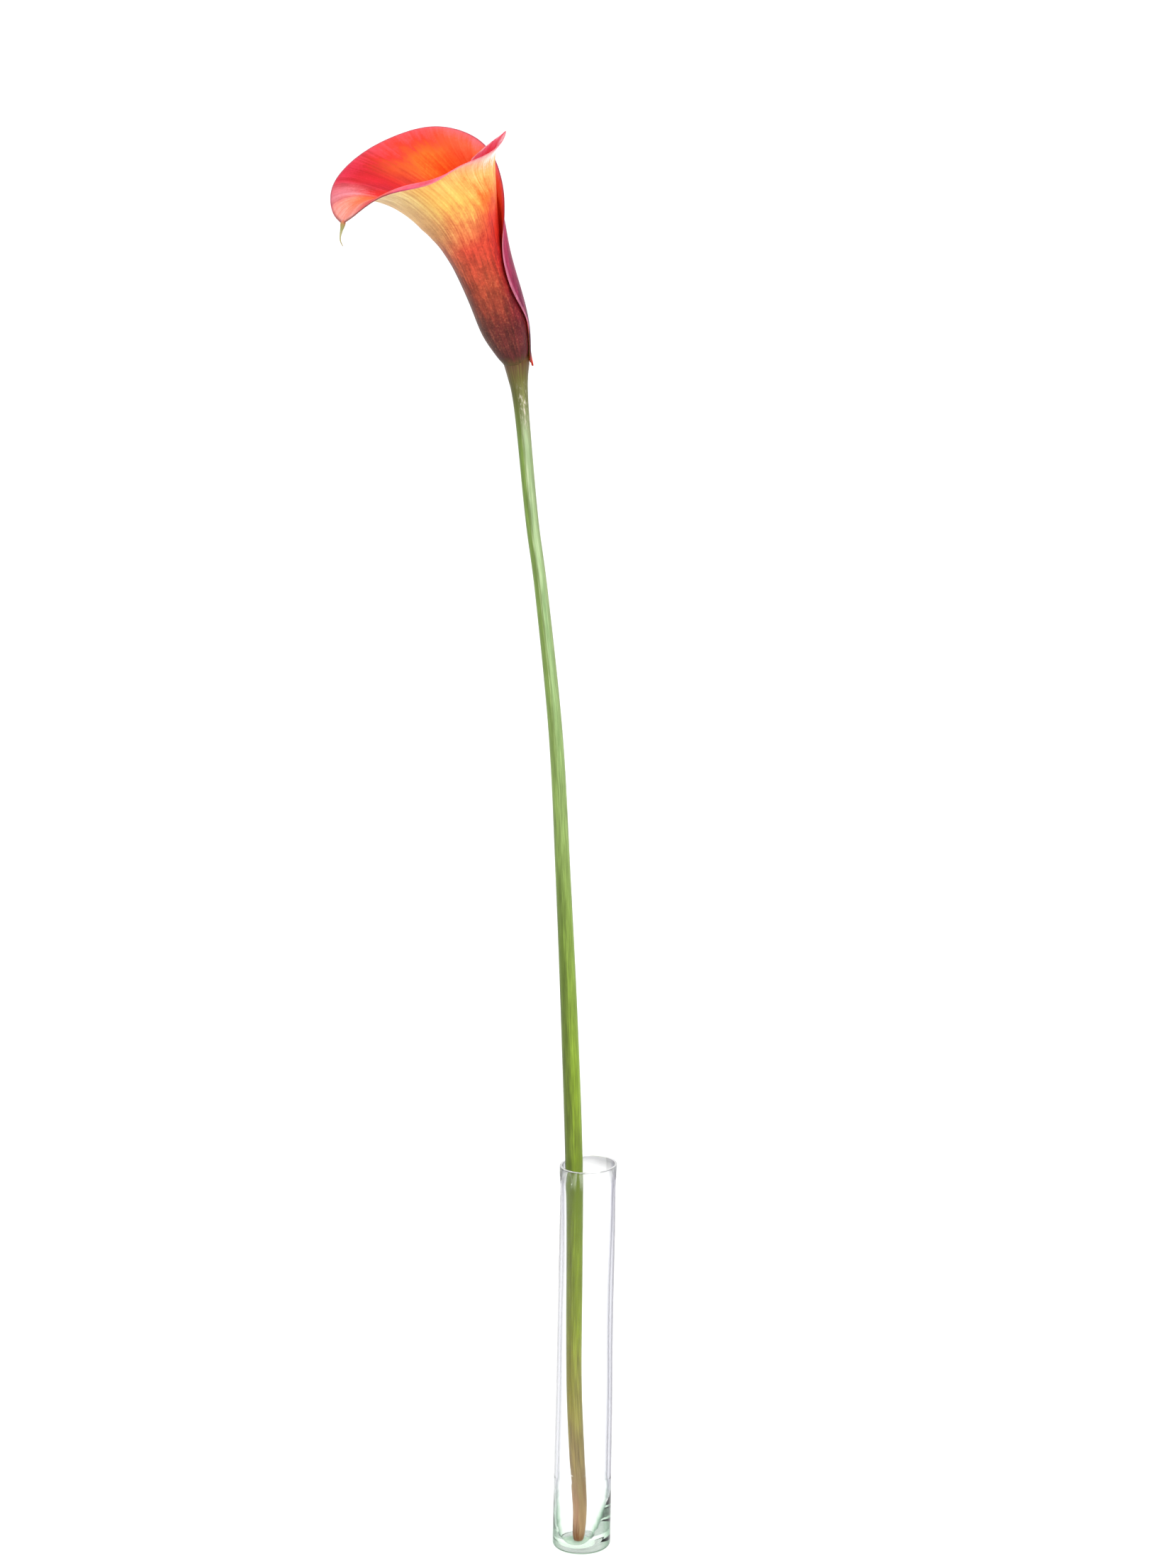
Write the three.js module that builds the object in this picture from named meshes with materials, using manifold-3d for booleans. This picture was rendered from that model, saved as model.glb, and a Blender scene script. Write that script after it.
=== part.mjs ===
// A cut calla lily standing in a narrow glass tube vase with a little water in it.
// Millimetres, +Z up, origin at the middle of the vase's foot, viewer on the -Y side.
// Five pieces: the vase, the water, the stem, the spadix and the spathe, which is the
// one big rolled leaf that people call the petal.

import * as THREE from 'three';
import { mergeVertices } from 'three/addons/utils/BufferGeometryUtils.js';
import Module from 'manifold-3d';

const wasm = await Module();
wasm.setup();

// Driving dimensions of the vase
const VASE_HEIGHT = 180;
const FOOT_RADIUS = 13;
const NECK_RADIUS = 12.35;
const LIP_RADIUS = 12.75;
const WALL = 1.5;
const FLOOR_THICKNESS = 1.2;
const FOOT_ROUNDING = 1.6;
const VASE_LEAN = 0.0175;
const RIM_SLANT = 0.035;
const RIM_SLANT_START = 150;
const VASE_SIDES = 48;

// Driving dimensions of the water and of the clearance between neighbours
const GAP = 0.3;
const WATER_LEVEL = 33.5;
const WATER_SIDES = 36;

// Driving dimensions of the stem: its centre line and its radius at each point
const STEM_SIDES = 12;
const STEM_RINGS = 44;
const STEM_POINTS = [
  { at: [-0.6, 0.0, FLOOR_THICKNESS + GAP], radius: 2.3 },
  { at: [-0.8, 0.3, 18], radius: 2.8 },
  { at: [-1.9, 0.8, 41], radius: 3.5 },
  { at: [-3.3, 1.6, 80], radius: 3.5 },
  { at: [-3.1, 2.2, 130], radius: 3.7 },
  { at: [-3.2, 2.5, 180], radius: 3.9 },
  { at: [-5.2, 2.5, 246], radius: 3.7 },
  { at: [-7.8, 2.0, 310], radius: 3.3 },
  { at: [-10.9, 1.4, 374], radius: 3.05 },
  { at: [-16.9, 0.8, 437], radius: 2.8 },
  { at: [-21.0, 0.5, 470], radius: 2.8 },
  { at: [-24.6, 0.2, 510], radius: 3.0 },
  { at: [-26.4, 0.0, 528], radius: 3.7 },
];
const SHOULDER_RADIUS = 5.3;
const SOCKET_RADIUS = 3.5;
const SOCKET_HEIGHT = 4.2;

// Where the spathe meets the stem; all flower sizes below are counted from here
const FLOWER = new THREE.Vector3(-27, 0, 538);

// The rolled tube, ring by ring: right, up, half width, half depth, lean to the left in
// degrees, angle of the outer margin, and how far the inner layer lies inside the outer
const TUBE_RINGS = [
  [-0.4, 0, 5.4, 5.6, 10, 366, 0.7],
  [-2.2, 6.2, 7.4, 7.2, 16, 366, 0.7],
  [-5, 15, 11.2, 10.6, 20, 372, 0.7],
  [-9.2, 27.6, 11.2, 12, 20, 408, 0.9],
  [-14.3, 42, 11.8, 13.2, 22, 404, 2.4],
  [-19, 56, 14.4, 16.5, 24, 384, 3],
  [-22.5, 69.5, 19.5, 21.5, 24, 372, 4.4],
];
const OUTER_LAP = 0.8;

// The free rim, from the inner margin round the near side, the tip on the left and the
// far side to the outer margin: right, back, up, angle round the tube (0 is right, 90 is
// near, 180 is left, 270 is far), slope of the lip in degrees, length of the lip, and the
// share of the tube that this line of the sheet climbs
const RIM = [
  [-19, 9, 86, -52, 60, 9, 1],
  [-12.5, 4, 92.5, -30, 50, 9, 1],
  [-6, 0, 97.5, -12, 42, 9, 1],
  [-2.2, -2, 101.5, -4, 40, 9, 1],
  [-4.4, -4, 97.6, 4, 42, 9, 1],
  [-7.2, -9, 93.2, 16, 45, 8, 1],
  [-14.5, -17, 90, 38, 40, 8, 1],
  [-24.5, -25, 87.8, 60, 20, 8, 1],
  [-33.5, -31, 80.5, 82, -20, 8, 1],
  [-45, -31, 78.5, 104, -25, 8, 1],
  [-56.5, -26, 75.3, 128, -30, 9, 1],
  [-66, -15, 67, 154, -45, 10, 1],
  [-72.7, -4, 59.5, 178, -68, 12, 1],
  [-78.5, 5, 62, 200, -55, 12, 1],
  [-80, 14, 71, 218, -30, 10, 1],
  [-75.8, 22, 78.2, 234, -5, 9, 1],
  [-65.5, 28, 86.6, 252, 12, 9, 1],
  [-51.5, 32, 93, 270, 22, 9, 1],
  [-36, 32, 97.5, 290, 27, 9, 1],
  [-21, 27, 95, 310, 35, 9, 1],
  [-11, 18, 89, 330, 50, 8, 0.97],
  [-6.4, 9, 79, 352, 70, 8, 0.88],
  [-4.6, 2, 68, 374, 78, 7, 0.78],
  [-5.8, -6, 57, 400, 84, 7, 0.64],
];
const MOUTH_MIDDLE = [-38.5, 0];
const SHEET_THICKNESS = 0.9;
const MARGIN_THICKNESS = 0.6;
const SHEET_COLUMNS = 66;
const SHEET_ROWS = 24;

// The dry tail in which the midrib ends, sunk into the tip of the sheet
const TAIL_POINTS = [
  [-71.8, -4, 62],
  [-73.2, -4, 58],
  [-74.6, -4, 54.4],
  [-74.8, -4, 52],
  [-73.7, -4, 49.8],
];
const TAIL_RADIUS = 1.25;
const TAIL_END_RADIUS = 0.4;
const TAIL_SIDES = 8;
const TAIL_RINGS = 8;

// The spadix, the fleshy spike of tiny flowers inside the tube
const SPADIX_POINTS = [
  [-2.2, 0, 8.4],
  [-5, 0, 17],
  [-9.4, 0, 29],
  [-13.6, 0, 41],
  [-17.4, 0, 53],
];
const SPADIX_RADIUS = 3.7;
const SPADIX_FOOT_RADIUS = 2.9;
const SPADIX_SIDES = 32;
const SPADIX_RINGS = 40;
const FLORETS_ROUND = 8;
const FLORET_ROWS = 13;
const FLORET_HEIGHT = 0.35;

const materials = {
  glass: new THREE.MeshStandardMaterial({
    color: '#dfe8e4', roughness: 0.05, metalness: 0, transparent: true, opacity: 0.35,
  }),
  water: new THREE.MeshStandardMaterial({
    color: '#dde8e6', roughness: 0.03, metalness: 0, transparent: true, opacity: 0.5,
  }),
  stem: new THREE.MeshStandardMaterial({ color: '#8f9d4c', roughness: 0.5, metalness: 0 }),
  spadix: new THREE.MeshStandardMaterial({ color: '#e8b63a', roughness: 0.75, metalness: 0 }),
  spathe: new THREE.MeshStandardMaterial({ color: '#e4572e', roughness: 0.48, metalness: 0 }),
};

// Small helpers

const radians = THREE.MathUtils.degToRad;

function mix(a, b, share) {
  return a + (b - a) * share;
}

// 0 below 0, 1 above 1, and a soft S between
function ease(value) {
  return THREE.MathUtils.smoothstep(value, 0, 1);
}

function meshGeometry(vertices, triangles) {
  const geometry = new THREE.BufferGeometry();
  geometry.setAttribute('position', new THREE.Float32BufferAttribute(vertices, 3));
  geometry.setIndex(triangles);
  geometry.computeVertexNormals();
  return geometry;
}

function toSolid(geometry) {
  const bare = geometry.clone();
  bare.deleteAttribute('normal');
  bare.deleteAttribute('uv');
  const merged = mergeVertices(bare, 1e-4);
  const vertProperties = new Float32Array(merged.attributes.position.array);
  const triVerts = new Uint32Array(merged.index.array);
  return new wasm.Manifold(new wasm.Mesh({ numProp: 3, vertProperties, triVerts }));
}

function fromSolid(solid) {
  const mesh = solid.getMesh();
  return meshGeometry(Array.from(mesh.vertProperties), Array.from(mesh.triVerts));
}

function namedMesh(name, geometry, material) {
  const mesh = new THREE.Mesh(geometry, material);
  mesh.name = name;
  return mesh;
}

// A closed body through rings that all hold the same number of points, counted
// anticlockwise as seen from ahead; both ends are closed by a fan round their middle
function loft(rings) {
  const sides = rings[0].length;
  const last = rings.length - 1;
  const vertices = rings.flat().flatMap((point) => point.toArray());
  const triangles = [];
  for (let r = 0; r < last; r += 1) {
    for (let k = 0; k < sides; k += 1) {
      const a = r * sides + k;
      const b = r * sides + ((k + 1) % sides);
      triangles.push(a, b, b + sides, a, b + sides, a + sides);
    }
  }
  for (const end of [0, last]) {
    const middle = new THREE.Vector3();
    rings[end].forEach((point) => middle.addScaledVector(point, 1 / sides));
    const hub = vertices.length / 3;
    vertices.push(...middle.toArray());
    for (let k = 0; k < sides; k += 1) {
      const a = end * sides + k;
      const b = end * sides + ((k + 1) % sides);
      triangles.push(hub, end === 0 ? b : a, end === 0 ? a : b);
    }
  }
  return meshGeometry(vertices, triangles);
}

// One ring of a round tube, square to its direction; radiusAt may vary round the ring
function tubeRing(centre, direction, sides, radiusAt) {
  const back = new THREE.Vector3(0, 1, 0);
  const across = new THREE.Vector3().crossVectors(back, direction).normalize();
  const up = new THREE.Vector3().crossVectors(direction, across).normalize();
  return Array.from({ length: sides }, (_, k) => {
    const turn = (2 * Math.PI * k) / sides;
    const radius = radiusAt(turn);
    return centre.clone()
      .addScaledVector(across, radius * Math.cos(turn))
      .addScaledVector(up, radius * Math.sin(turn));
  });
}

// The vase

function vaseInnerRadius(z) {
  return mix(FOOT_RADIUS, NECK_RADIUS, ease(z / RIM_SLANT_START)) - WALL;
}

// The inside of the foot: a small round floor that opens in a bowl to the wall
const BOWL = [
  [5.4, FLOOR_THICKNESS],
  [7.4, 3],
  [9.1, 7.2],
  [10.35, 13.5],
  [11.1, 20],
];

// The tube leans a little to the right and its rim is cut slightly out of square
function leanVase(geometry) {
  const position = geometry.attributes.position;
  for (let i = 0; i < position.count; i += 1) {
    const z = position.getZ(i);
    const slant = ease((z - RIM_SLANT_START) / (VASE_HEIGHT - RIM_SLANT_START));
    position.setZ(i, z + position.getX(i) * RIM_SLANT * slant);
    position.setX(i, position.getX(i) + z * VASE_LEAN);
  }
  return geometry;
}

function lathe(profile, sides) {
  const points = profile.map(([radius, z]) => new THREE.Vector2(radius, z));
  const geometry = new THREE.LatheGeometry(points, sides);
  geometry.rotateX(Math.PI / 2);
  return geometry;
}

function glassVase() {
  const lipWidth = LIP_RADIUS - NECK_RADIUS + WALL;
  const lipMiddle = LIP_RADIUS - lipWidth / 2;
  const outer = [
    [0, 0],
    [FOOT_RADIUS - FOOT_ROUNDING, 0],
    [FOOT_RADIUS - FOOT_ROUNDING * 0.3, FOOT_ROUNDING * 0.3],
    [FOOT_RADIUS, FOOT_ROUNDING],
    [vaseInnerRadius(50) + WALL, 50],
    [vaseInnerRadius(100) + WALL, 100],
    [NECK_RADIUS, RIM_SLANT_START],
    [NECK_RADIUS, VASE_HEIGHT - 7],
    [LIP_RADIUS, VASE_HEIGHT - lipWidth / 2],
  ];
  const lip = [-0.85, 0, 0.85].map((side) => [
    lipMiddle - side * lipWidth / 2,
    VASE_HEIGHT - lipWidth / 2 * (1 - Math.sqrt(1 - side * side)),
  ]);
  const inner = [
    [NECK_RADIUS - WALL, VASE_HEIGHT - 6],
    [NECK_RADIUS - WALL, RIM_SLANT_START],
    [vaseInnerRadius(100), 100],
    [vaseInnerRadius(50), 50],
    ...BOWL.slice().reverse(),
    [0, FLOOR_THICKNESS],
  ];
  return leanVase(lathe([...outer, ...lip.reverse(), ...inner], VASE_SIDES));
}

// The stem

const stemCurve = new THREE.CatmullRomCurve3(
  STEM_POINTS.map((point) => new THREE.Vector3(...point.at)),
);
const flowerLean = radians(TUBE_RINGS[0][4]);
const flowerUp = new THREE.Vector3(-Math.sin(flowerLean), 0, Math.cos(flowerLean));
const collarMiddle = FLOWER.clone().add(new THREE.Vector3(TUBE_RINGS[0][0], 0, 0));
const shoulderMiddle = collarMiddle.clone().addScaledVector(flowerUp, -GAP);
const socketMiddle = shoulderMiddle.clone().addScaledVector(flowerUp, SOCKET_HEIGHT);

function stemRadius(share) {
  const place = share * (STEM_POINTS.length - 1);
  const index = Math.min(Math.floor(place), STEM_POINTS.length - 2);
  return mix(STEM_POINTS[index].radius, STEM_POINTS[index + 1].radius, place - index);
}

function stemRings(extra) {
  return Array.from({ length: STEM_RINGS + 1 }, (_, i) => {
    const share = i / STEM_RINGS;
    const radius = stemRadius(share) + extra;
    const direction = stemCurve.getTangent(share);
    return tubeRing(stemCurve.getPoint(share), direction, STEM_SIDES, () => radius);
  });
}

// The stem widens into a shoulder that carries the collar of the spathe, and a short
// peg goes on up inside the tube and carries the spadix
function stem() {
  const rings = stemRings(0);
  rings.push(tubeRing(shoulderMiddle, flowerUp, STEM_SIDES, () => SHOULDER_RADIUS));
  rings.push(tubeRing(shoulderMiddle, flowerUp, STEM_SIDES, () => SOCKET_RADIUS));
  rings.push(tubeRing(socketMiddle, flowerUp, STEM_SIDES, () => SOCKET_RADIUS));
  return loft(rings);
}

// The water, with a plain hole in which the stem stands

function water() {
  const top = WATER_LEVEL;
  const bowl = BOWL.map(([radius, z]) => [radius - GAP, z + GAP]);
  const profile = [[0, FLOOR_THICKNESS + GAP], ...bowl, [vaseInnerRadius(top) - GAP, top], [0, top]];
  const body = toSolid(leanVase(lathe(profile, WATER_SIDES)));
  const below = stemCurve.getPoint(0).add(new THREE.Vector3(0, 0, -3));
  const start = tubeRing(below, stemCurve.getTangent(0), STEM_SIDES, () => STEM_POINTS[0].radius + GAP);
  const hole = toSolid(loft([start, ...stemRings(GAP)]));
  return fromSolid(body.subtract(hole));
}

// The spathe: one sheet through a net of points, each line of the net climbing the tube
// from the collar and then turning out to the rim

function ringAt(place) {
  const index = Math.min(Math.floor(place), TUBE_RINGS.length - 2);
  return TUBE_RINGS[index].map((value, k) => mix(value, TUBE_RINGS[index + 1][k], place - index));
}

function netLine([x, y, z, angle, slope, lip, top]) {
  const line = TUBE_RINGS.map((_, k) => {
    const [right, up, halfWidth, halfDepth, lean, outerMargin, tuck] = ringAt(k * top);
    const turn = angle < 300 ? angle : 300 + (angle - 300) * (outerMargin - 300) / 100;
    const lap = OUTER_LAP * ease((angle - 240) / 90) - tuck * ease((90 - angle) / 75);
    const across = Math.cos(radians(turn)) * (halfWidth + lap);
    const near = Math.sin(radians(turn)) * (halfDepth + lap);
    const tilt = radians(lean);
    return new THREE.Vector3(right + across * Math.cos(tilt), -near, up + across * Math.sin(tilt));
  });
  const rim = new THREE.Vector3(x, y, z);
  const out = new THREE.Vector3(x - MOUTH_MIDDLE[0], y - MOUTH_MIDDLE[1], 0).normalize();
  out.multiplyScalar(Math.cos(radians(slope))).setZ(Math.sin(radians(slope)));
  line.push(rim.clone().addScaledVector(out, -lip));
  line.push(rim);
  return line.map((point) => point.add(FLOWER));
}

// Weights of a clamped uniform cubic B-spline with this many control points
function splineWeights(count, share) {
  const spans = count - 3;
  const knots = [0, 0, 0, ...Array.from({ length: spans + 1 }, (_, i) => i / spans), 1, 1, 1];
  const place = Math.min(share, 1 - 1e-9);
  let weights = knots.slice(1).map((knot, i) => (knots[i] <= place && place < knot ? 1 : 0));
  for (let degree = 1; degree <= 3; degree += 1) {
    weights = weights.slice(1).map((next, i) => {
      const rise = knots[i + degree] - knots[i];
      const fall = knots[i + degree + 1] - knots[i + 1];
      const rising = rise > 0 ? (place - knots[i]) / rise * weights[i] : 0;
      const falling = fall > 0 ? (knots[i + degree + 1] - place) / fall * next : 0;
      return rising + falling;
    });
  }
  return weights;
}

const net = RIM.map(netLine);

function sheetPoint(s, t) {
  const around = splineWeights(net.length, s);
  const along = splineWeights(net[0].length, t);
  const point = new THREE.Vector3();
  net.forEach((line, i) => {
    line.forEach((corner, j) => point.addScaledVector(corner, around[i] * along[j]));
  });
  return point;
}

// The sheet's outward normal; at the collar it is kept square to the tube
function sheetNormal(s, t) {
  const step = 0.004;
  const acrossStart = sheetPoint(Math.max(s - step, 0), t);
  const across = sheetPoint(Math.min(s + step, 1), t).sub(acrossStart);
  const alongStart = sheetPoint(s, Math.max(t - step, 0));
  const along = sheetPoint(s, Math.min(t + step, 1)).sub(alongStart);
  const normal = along.cross(across);
  if (t === 0) normal.addScaledVector(flowerUp, -normal.dot(flowerUp));
  return normal.normalize();
}

function spatheShell() {
  const columns = SHEET_COLUMNS + 1;
  const rows = SHEET_ROWS + 1;
  const faces = { out: [], in: [] };
  for (let i = 0; i < columns; i += 1) {
    for (let j = 0; j < rows; j += 1) {
      const s = i / SHEET_COLUMNS;
      const t = j / SHEET_ROWS;
      const half = mix(SHEET_THICKNESS, MARGIN_THICKNESS, t) / 2;
      const middle = sheetPoint(s, t);
      const normal = sheetNormal(s, t);
      faces.out.push(middle.clone().addScaledVector(normal, half));
      faces.in.push(middle.clone().addScaledVector(normal, -half));
    }
  }
  const vertices = [...faces.out, ...faces.in].flatMap((point) => point.toArray());
  const triangles = [];
  const quad = (a, b, c, d) => triangles.push(a, b, c, a, c, d);
  const outer = (i, j) => i * rows + j;
  const inner = (i, j) => columns * rows + i * rows + j;
  for (let i = 0; i < SHEET_COLUMNS; i += 1) {
    for (let j = 0; j < SHEET_ROWS; j += 1) {
      quad(outer(i, j), outer(i, j + 1), outer(i + 1, j + 1), outer(i + 1, j));
      quad(inner(i, j), inner(i + 1, j), inner(i + 1, j + 1), inner(i, j + 1));
    }
    quad(outer(i, 0), outer(i + 1, 0), inner(i + 1, 0), inner(i, 0));
    quad(outer(i, SHEET_ROWS), inner(i, SHEET_ROWS), inner(i + 1, SHEET_ROWS), outer(i + 1, SHEET_ROWS));
  }
  for (let j = 0; j < SHEET_ROWS; j += 1) {
    quad(outer(0, j), inner(0, j), inner(0, j + 1), outer(0, j + 1));
    quad(outer(SHEET_COLUMNS, j), outer(SHEET_COLUMNS, j + 1), inner(SHEET_COLUMNS, j + 1), inner(SHEET_COLUMNS, j));
  }
  return meshGeometry(vertices, triangles);
}

function curveFrom(points) {
  return new THREE.CatmullRomCurve3(points.map((point) => new THREE.Vector3(...point).add(FLOWER)));
}

function spatheTail() {
  const curve = curveFrom(TAIL_POINTS);
  const rings = Array.from({ length: TAIL_RINGS + 1 }, (_, i) => {
    const share = i / TAIL_RINGS;
    const radius = mix(TAIL_RADIUS, TAIL_END_RADIUS, share);
    return tubeRing(curve.getPoint(share), curve.getTangent(share), TAIL_SIDES, () => radius);
  });
  return loft(rings);
}

function spathe() {
  return fromSolid(toSolid(spatheShell()).add(toSolid(spatheTail())));
}

// The spadix: a blunt finger whose tiny flowers stand in staggered rows as low bumps

function spadix() {
  const curve = curveFrom(SPADIX_POINTS);
  const foot = socketMiddle.clone().addScaledVector(flowerUp, GAP);
  const rings = [tubeRing(foot, flowerUp, SPADIX_SIDES, () => SPADIX_FOOT_RADIUS)];
  for (let i = 1; i <= SPADIX_RINGS; i += 1) {
    const share = i / SPADIX_RINGS;
    const tip = Math.sqrt(Math.max(1 - ((share - 0.86) / 0.14) ** 2, 0.02));
    const body = mix(SPADIX_FOOT_RADIUS, SPADIX_RADIUS, ease(share * 3)) * (share > 0.86 ? tip : 1);
    const row = share * FLORET_ROWS * Math.PI;
    const radiusAt = (turn) => body + FLORET_HEIGHT * Math.cos(FLORETS_ROUND * turn) * Math.cos(row);
    const bump = share < 0.95 ? radiusAt : () => body;
    rings.push(tubeRing(curve.getPoint(share), curve.getTangent(share), SPADIX_SIDES, bump));
  }
  return loft(rings);
}

const callaLily = new THREE.Group();
callaLily.add(
  namedMesh('glass_vase', glassVase(), materials.glass),
  namedMesh('water', water(), materials.water),
  namedMesh('stem', stem(), materials.stem),
  namedMesh('spadix', spadix(), materials.spadix),
  namedMesh('spathe', spathe(), materials.spathe),
);

export default callaLily;
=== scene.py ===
# %% [markdown]
# A calla lily in a tube vase
#
# One cut calla lily stands in a narrow glass tube with a little water. The flower has only
# a few pieces: the long bare stem, the big rolled leaf called the spathe, and the finger of
# tiny florets inside it. The script loads the measured solids first, builds a finer piece
# over each of them in the same place, and gives every piece the finish of the real thing.

# %% Load the measured solids
import bpy
import math
import numpy as np
from functools import partial
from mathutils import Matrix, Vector


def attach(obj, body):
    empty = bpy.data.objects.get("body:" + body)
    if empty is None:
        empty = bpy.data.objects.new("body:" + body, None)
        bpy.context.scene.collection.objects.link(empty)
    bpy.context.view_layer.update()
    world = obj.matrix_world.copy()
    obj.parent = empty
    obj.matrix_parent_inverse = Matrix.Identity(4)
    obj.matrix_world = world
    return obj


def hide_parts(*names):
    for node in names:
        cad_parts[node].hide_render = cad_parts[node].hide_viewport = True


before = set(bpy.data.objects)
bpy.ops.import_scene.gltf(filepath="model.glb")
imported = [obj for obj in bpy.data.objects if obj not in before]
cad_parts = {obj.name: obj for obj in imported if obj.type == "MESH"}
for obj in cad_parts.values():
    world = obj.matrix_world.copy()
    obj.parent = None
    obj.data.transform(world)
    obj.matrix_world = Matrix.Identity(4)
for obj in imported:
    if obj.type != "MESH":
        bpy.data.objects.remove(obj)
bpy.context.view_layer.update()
print("solids:", sorted(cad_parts))

# %% [markdown]
# Sizes are kept in millimetres, as a grower or a glass worker would say them, and turned to
# metres in one place.

# %% Helpers for meshes
MM = 0.001


def put_in_scene(name, data):
    """A new object in the scene with this mesh, curve, camera or light."""
    piece = bpy.data.objects.new(name, data)
    bpy.context.scene.collection.objects.link(piece)
    return piece


def make_mesh(name, points_mm, faces):
    """A smooth mesh object at the origin from points in millimetres."""
    mesh = bpy.data.meshes.new(name)
    mesh.from_pydata((np.asarray(points_mm) * MM).tolist(), [], faces)
    mesh.validate()
    mesh.shade_smooth()
    mesh.update()
    return put_in_scene(name, mesh)


def join_rings(rings, size, first=0, closed=False):
    """Faces between neighbouring rings of points; the last ring may meet the first one."""
    faces = []
    for ring in range(rings if closed else rings - 1):
        a, b = first + ring * size, first + (ring + 1) % rings * size
        faces += [(a + k, a + (k + 1) % size, b + (k + 1) % size, b + k) for k in range(size)]
    return faces


def hand_over(piece, material, node):
    """Give a finished piece its material and body, and hide the solid that it stands for."""
    piece.data.materials.clear()
    piece.data.materials.append(material)
    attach(piece, "root")
    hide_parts(node)
    print(piece.name, "has", len(piece.data.polygons), "faces")


def ease(x, start=0, end=1):
    """A soft S from 0 at the start to 1 at the end, and level beyond them."""
    x = np.clip((x - start) / (end - start), 0, 1)
    return x * x * (3 - 2 * x)


# %% Helpers for materials
def linear(hex_colour):
    """An sRGB hex colour as linear RGBA."""
    parts = [int(hex_colour[i:i + 2], 16) / 255 for i in (1, 3, 5)]
    return [c / 12.92 if c <= 0.04045 else ((c + 0.055) / 1.055) ** 2.4 for c in parts] + [1]


def add_node(tree, kind, inputs=None, stops=None, **settings):
    """Add a node, set its properties and ramp stops, and fill or link its inputs.

    A shader node's kind is given without the word ShaderNode before it. A node given as an
    input stands for the first of its outputs that is in use, and a colour is given as hex.
    The two stops of a new ramp become its first and last, and the others go between them.
    """
    node = tree.nodes.new(kind if "Node" in kind else "ShaderNode" + kind)
    for key, value in settings.items():
        setattr(node, key, value)
    for key, value in (inputs or {}).items():
        if isinstance(value, bpy.types.Node):
            value = next(socket for socket in value.outputs if socket.enabled)
        if isinstance(value, str) and value.startswith("#"):
            value = linear(value)
        if isinstance(value, bpy.types.NodeSocket):
            tree.links.new(value, node.inputs[key])
        else:
            node.inputs[key].default_value = value
    places = list(stops or {})
    for i, place in enumerate(places[:1] + places[-1:] + places[1:-1]):
        elements = node.color_ramp.elements
        element = elements[i] if i < 2 else elements.new(place)
        element.position = place
        element.color = linear(stops[place])
    return node


def start_material(name):
    """An empty node material, and the helper that adds nodes to it."""
    material = bpy.data.materials.new(name)
    material.use_nodes = True
    material.node_tree.nodes.clear()
    return material, partial(add_node, material.node_tree)


SOFT = {"interpolation_type": "SMOOTHSTEP"}
COLOUR = {"data_type": "RGBA"}
TIMES = {"operation": "MULTIPLY"}
CLEAR = {"Roughness": 0.0, "Specular Tint": "#5a5a5a", "Transmission Weight": 1.0}


def finish_clear(add, surface, bright, tone, **volume):
    """End a clear material: a shine where it is bright, and an open way for lamp light."""
    shine = add("BsdfGlossy", {"Color": "#ffffff", "Roughness": 0.1})
    surface = add("MixShader", {0: bright, 1: surface, 2: shine})
    ray = add("LightPath")
    lets_light_in = add("Math", {0: ray.outputs["Is Shadow Ray"], 1: ray.outputs["Is Diffuse Ray"]},
        operation="MAXIMUM")
    open_way = add("BsdfTransparent", {"Color": tone})
    surface = add("MixShader", {0: lets_light_in, 1: surface, 2: open_way})
    add("OutputMaterial", {"Surface": surface, **volume})


# %% [markdown]
# The camera stands about two and a half metres away, a little above the vase, and looks
# down on it by 14.7 degrees with a long lens, as in the photo. It comes first, because the
# rest is judged through it.

# %% Camera
IMAGE_SIZE = (1659, 2212)
FOCAL_PIXELS = 8000
SENSOR_MM = 36
CAMERA_AT_MM = (3, -2376, 975)
CAMERA_PITCH_DEG = 14.67

camera_data = bpy.data.cameras.new("camera")
camera_data.sensor_width = SENSOR_MM
camera_data.lens = FOCAL_PIXELS / IMAGE_SIZE[1] * SENSOR_MM
camera_data.clip_end = 100
camera = put_in_scene("camera", camera_data)
camera.location = [value * MM for value in CAMERA_AT_MM]
camera.rotation_euler = (math.radians(90 - CAMERA_PITCH_DEG), 0, 0)
bpy.context.scene.camera = camera
print("lens %.1f mm" % camera_data.lens)

# %% [markdown]
# A product photo of a single flower is lit high-key: a white sweep, a big light overhead
# and behind, and a softer one in front. The room behind the photographer is dimmer, or it
# would lay a grey veil over everything that stands behind glass.

# %% Floor
FLOOR_SIZE_MM = 24000

half = FLOOR_SIZE_MM / 2
corners = [(-half, -half, 0), (half, -half, 0), (half, half, 0), (-half, half, 0)]
floor = make_mesh("floor", corners, [(0, 1, 2, 3)])
floor_material, add = start_material("white paper sweep")
shader = add("BsdfPrincipled", {"Base Color": "#fbfbfb", "Roughness": 0.9, "Specular IOR Level": 0.1})
add("OutputMaterial", {"Surface": shader})
floor.data.materials.append(floor_material)

# %% Light of the room
TOP_LIGHT = 1.35
BACK_LIGHT = 1.05
FRONT_LIGHT = 0.55

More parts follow.
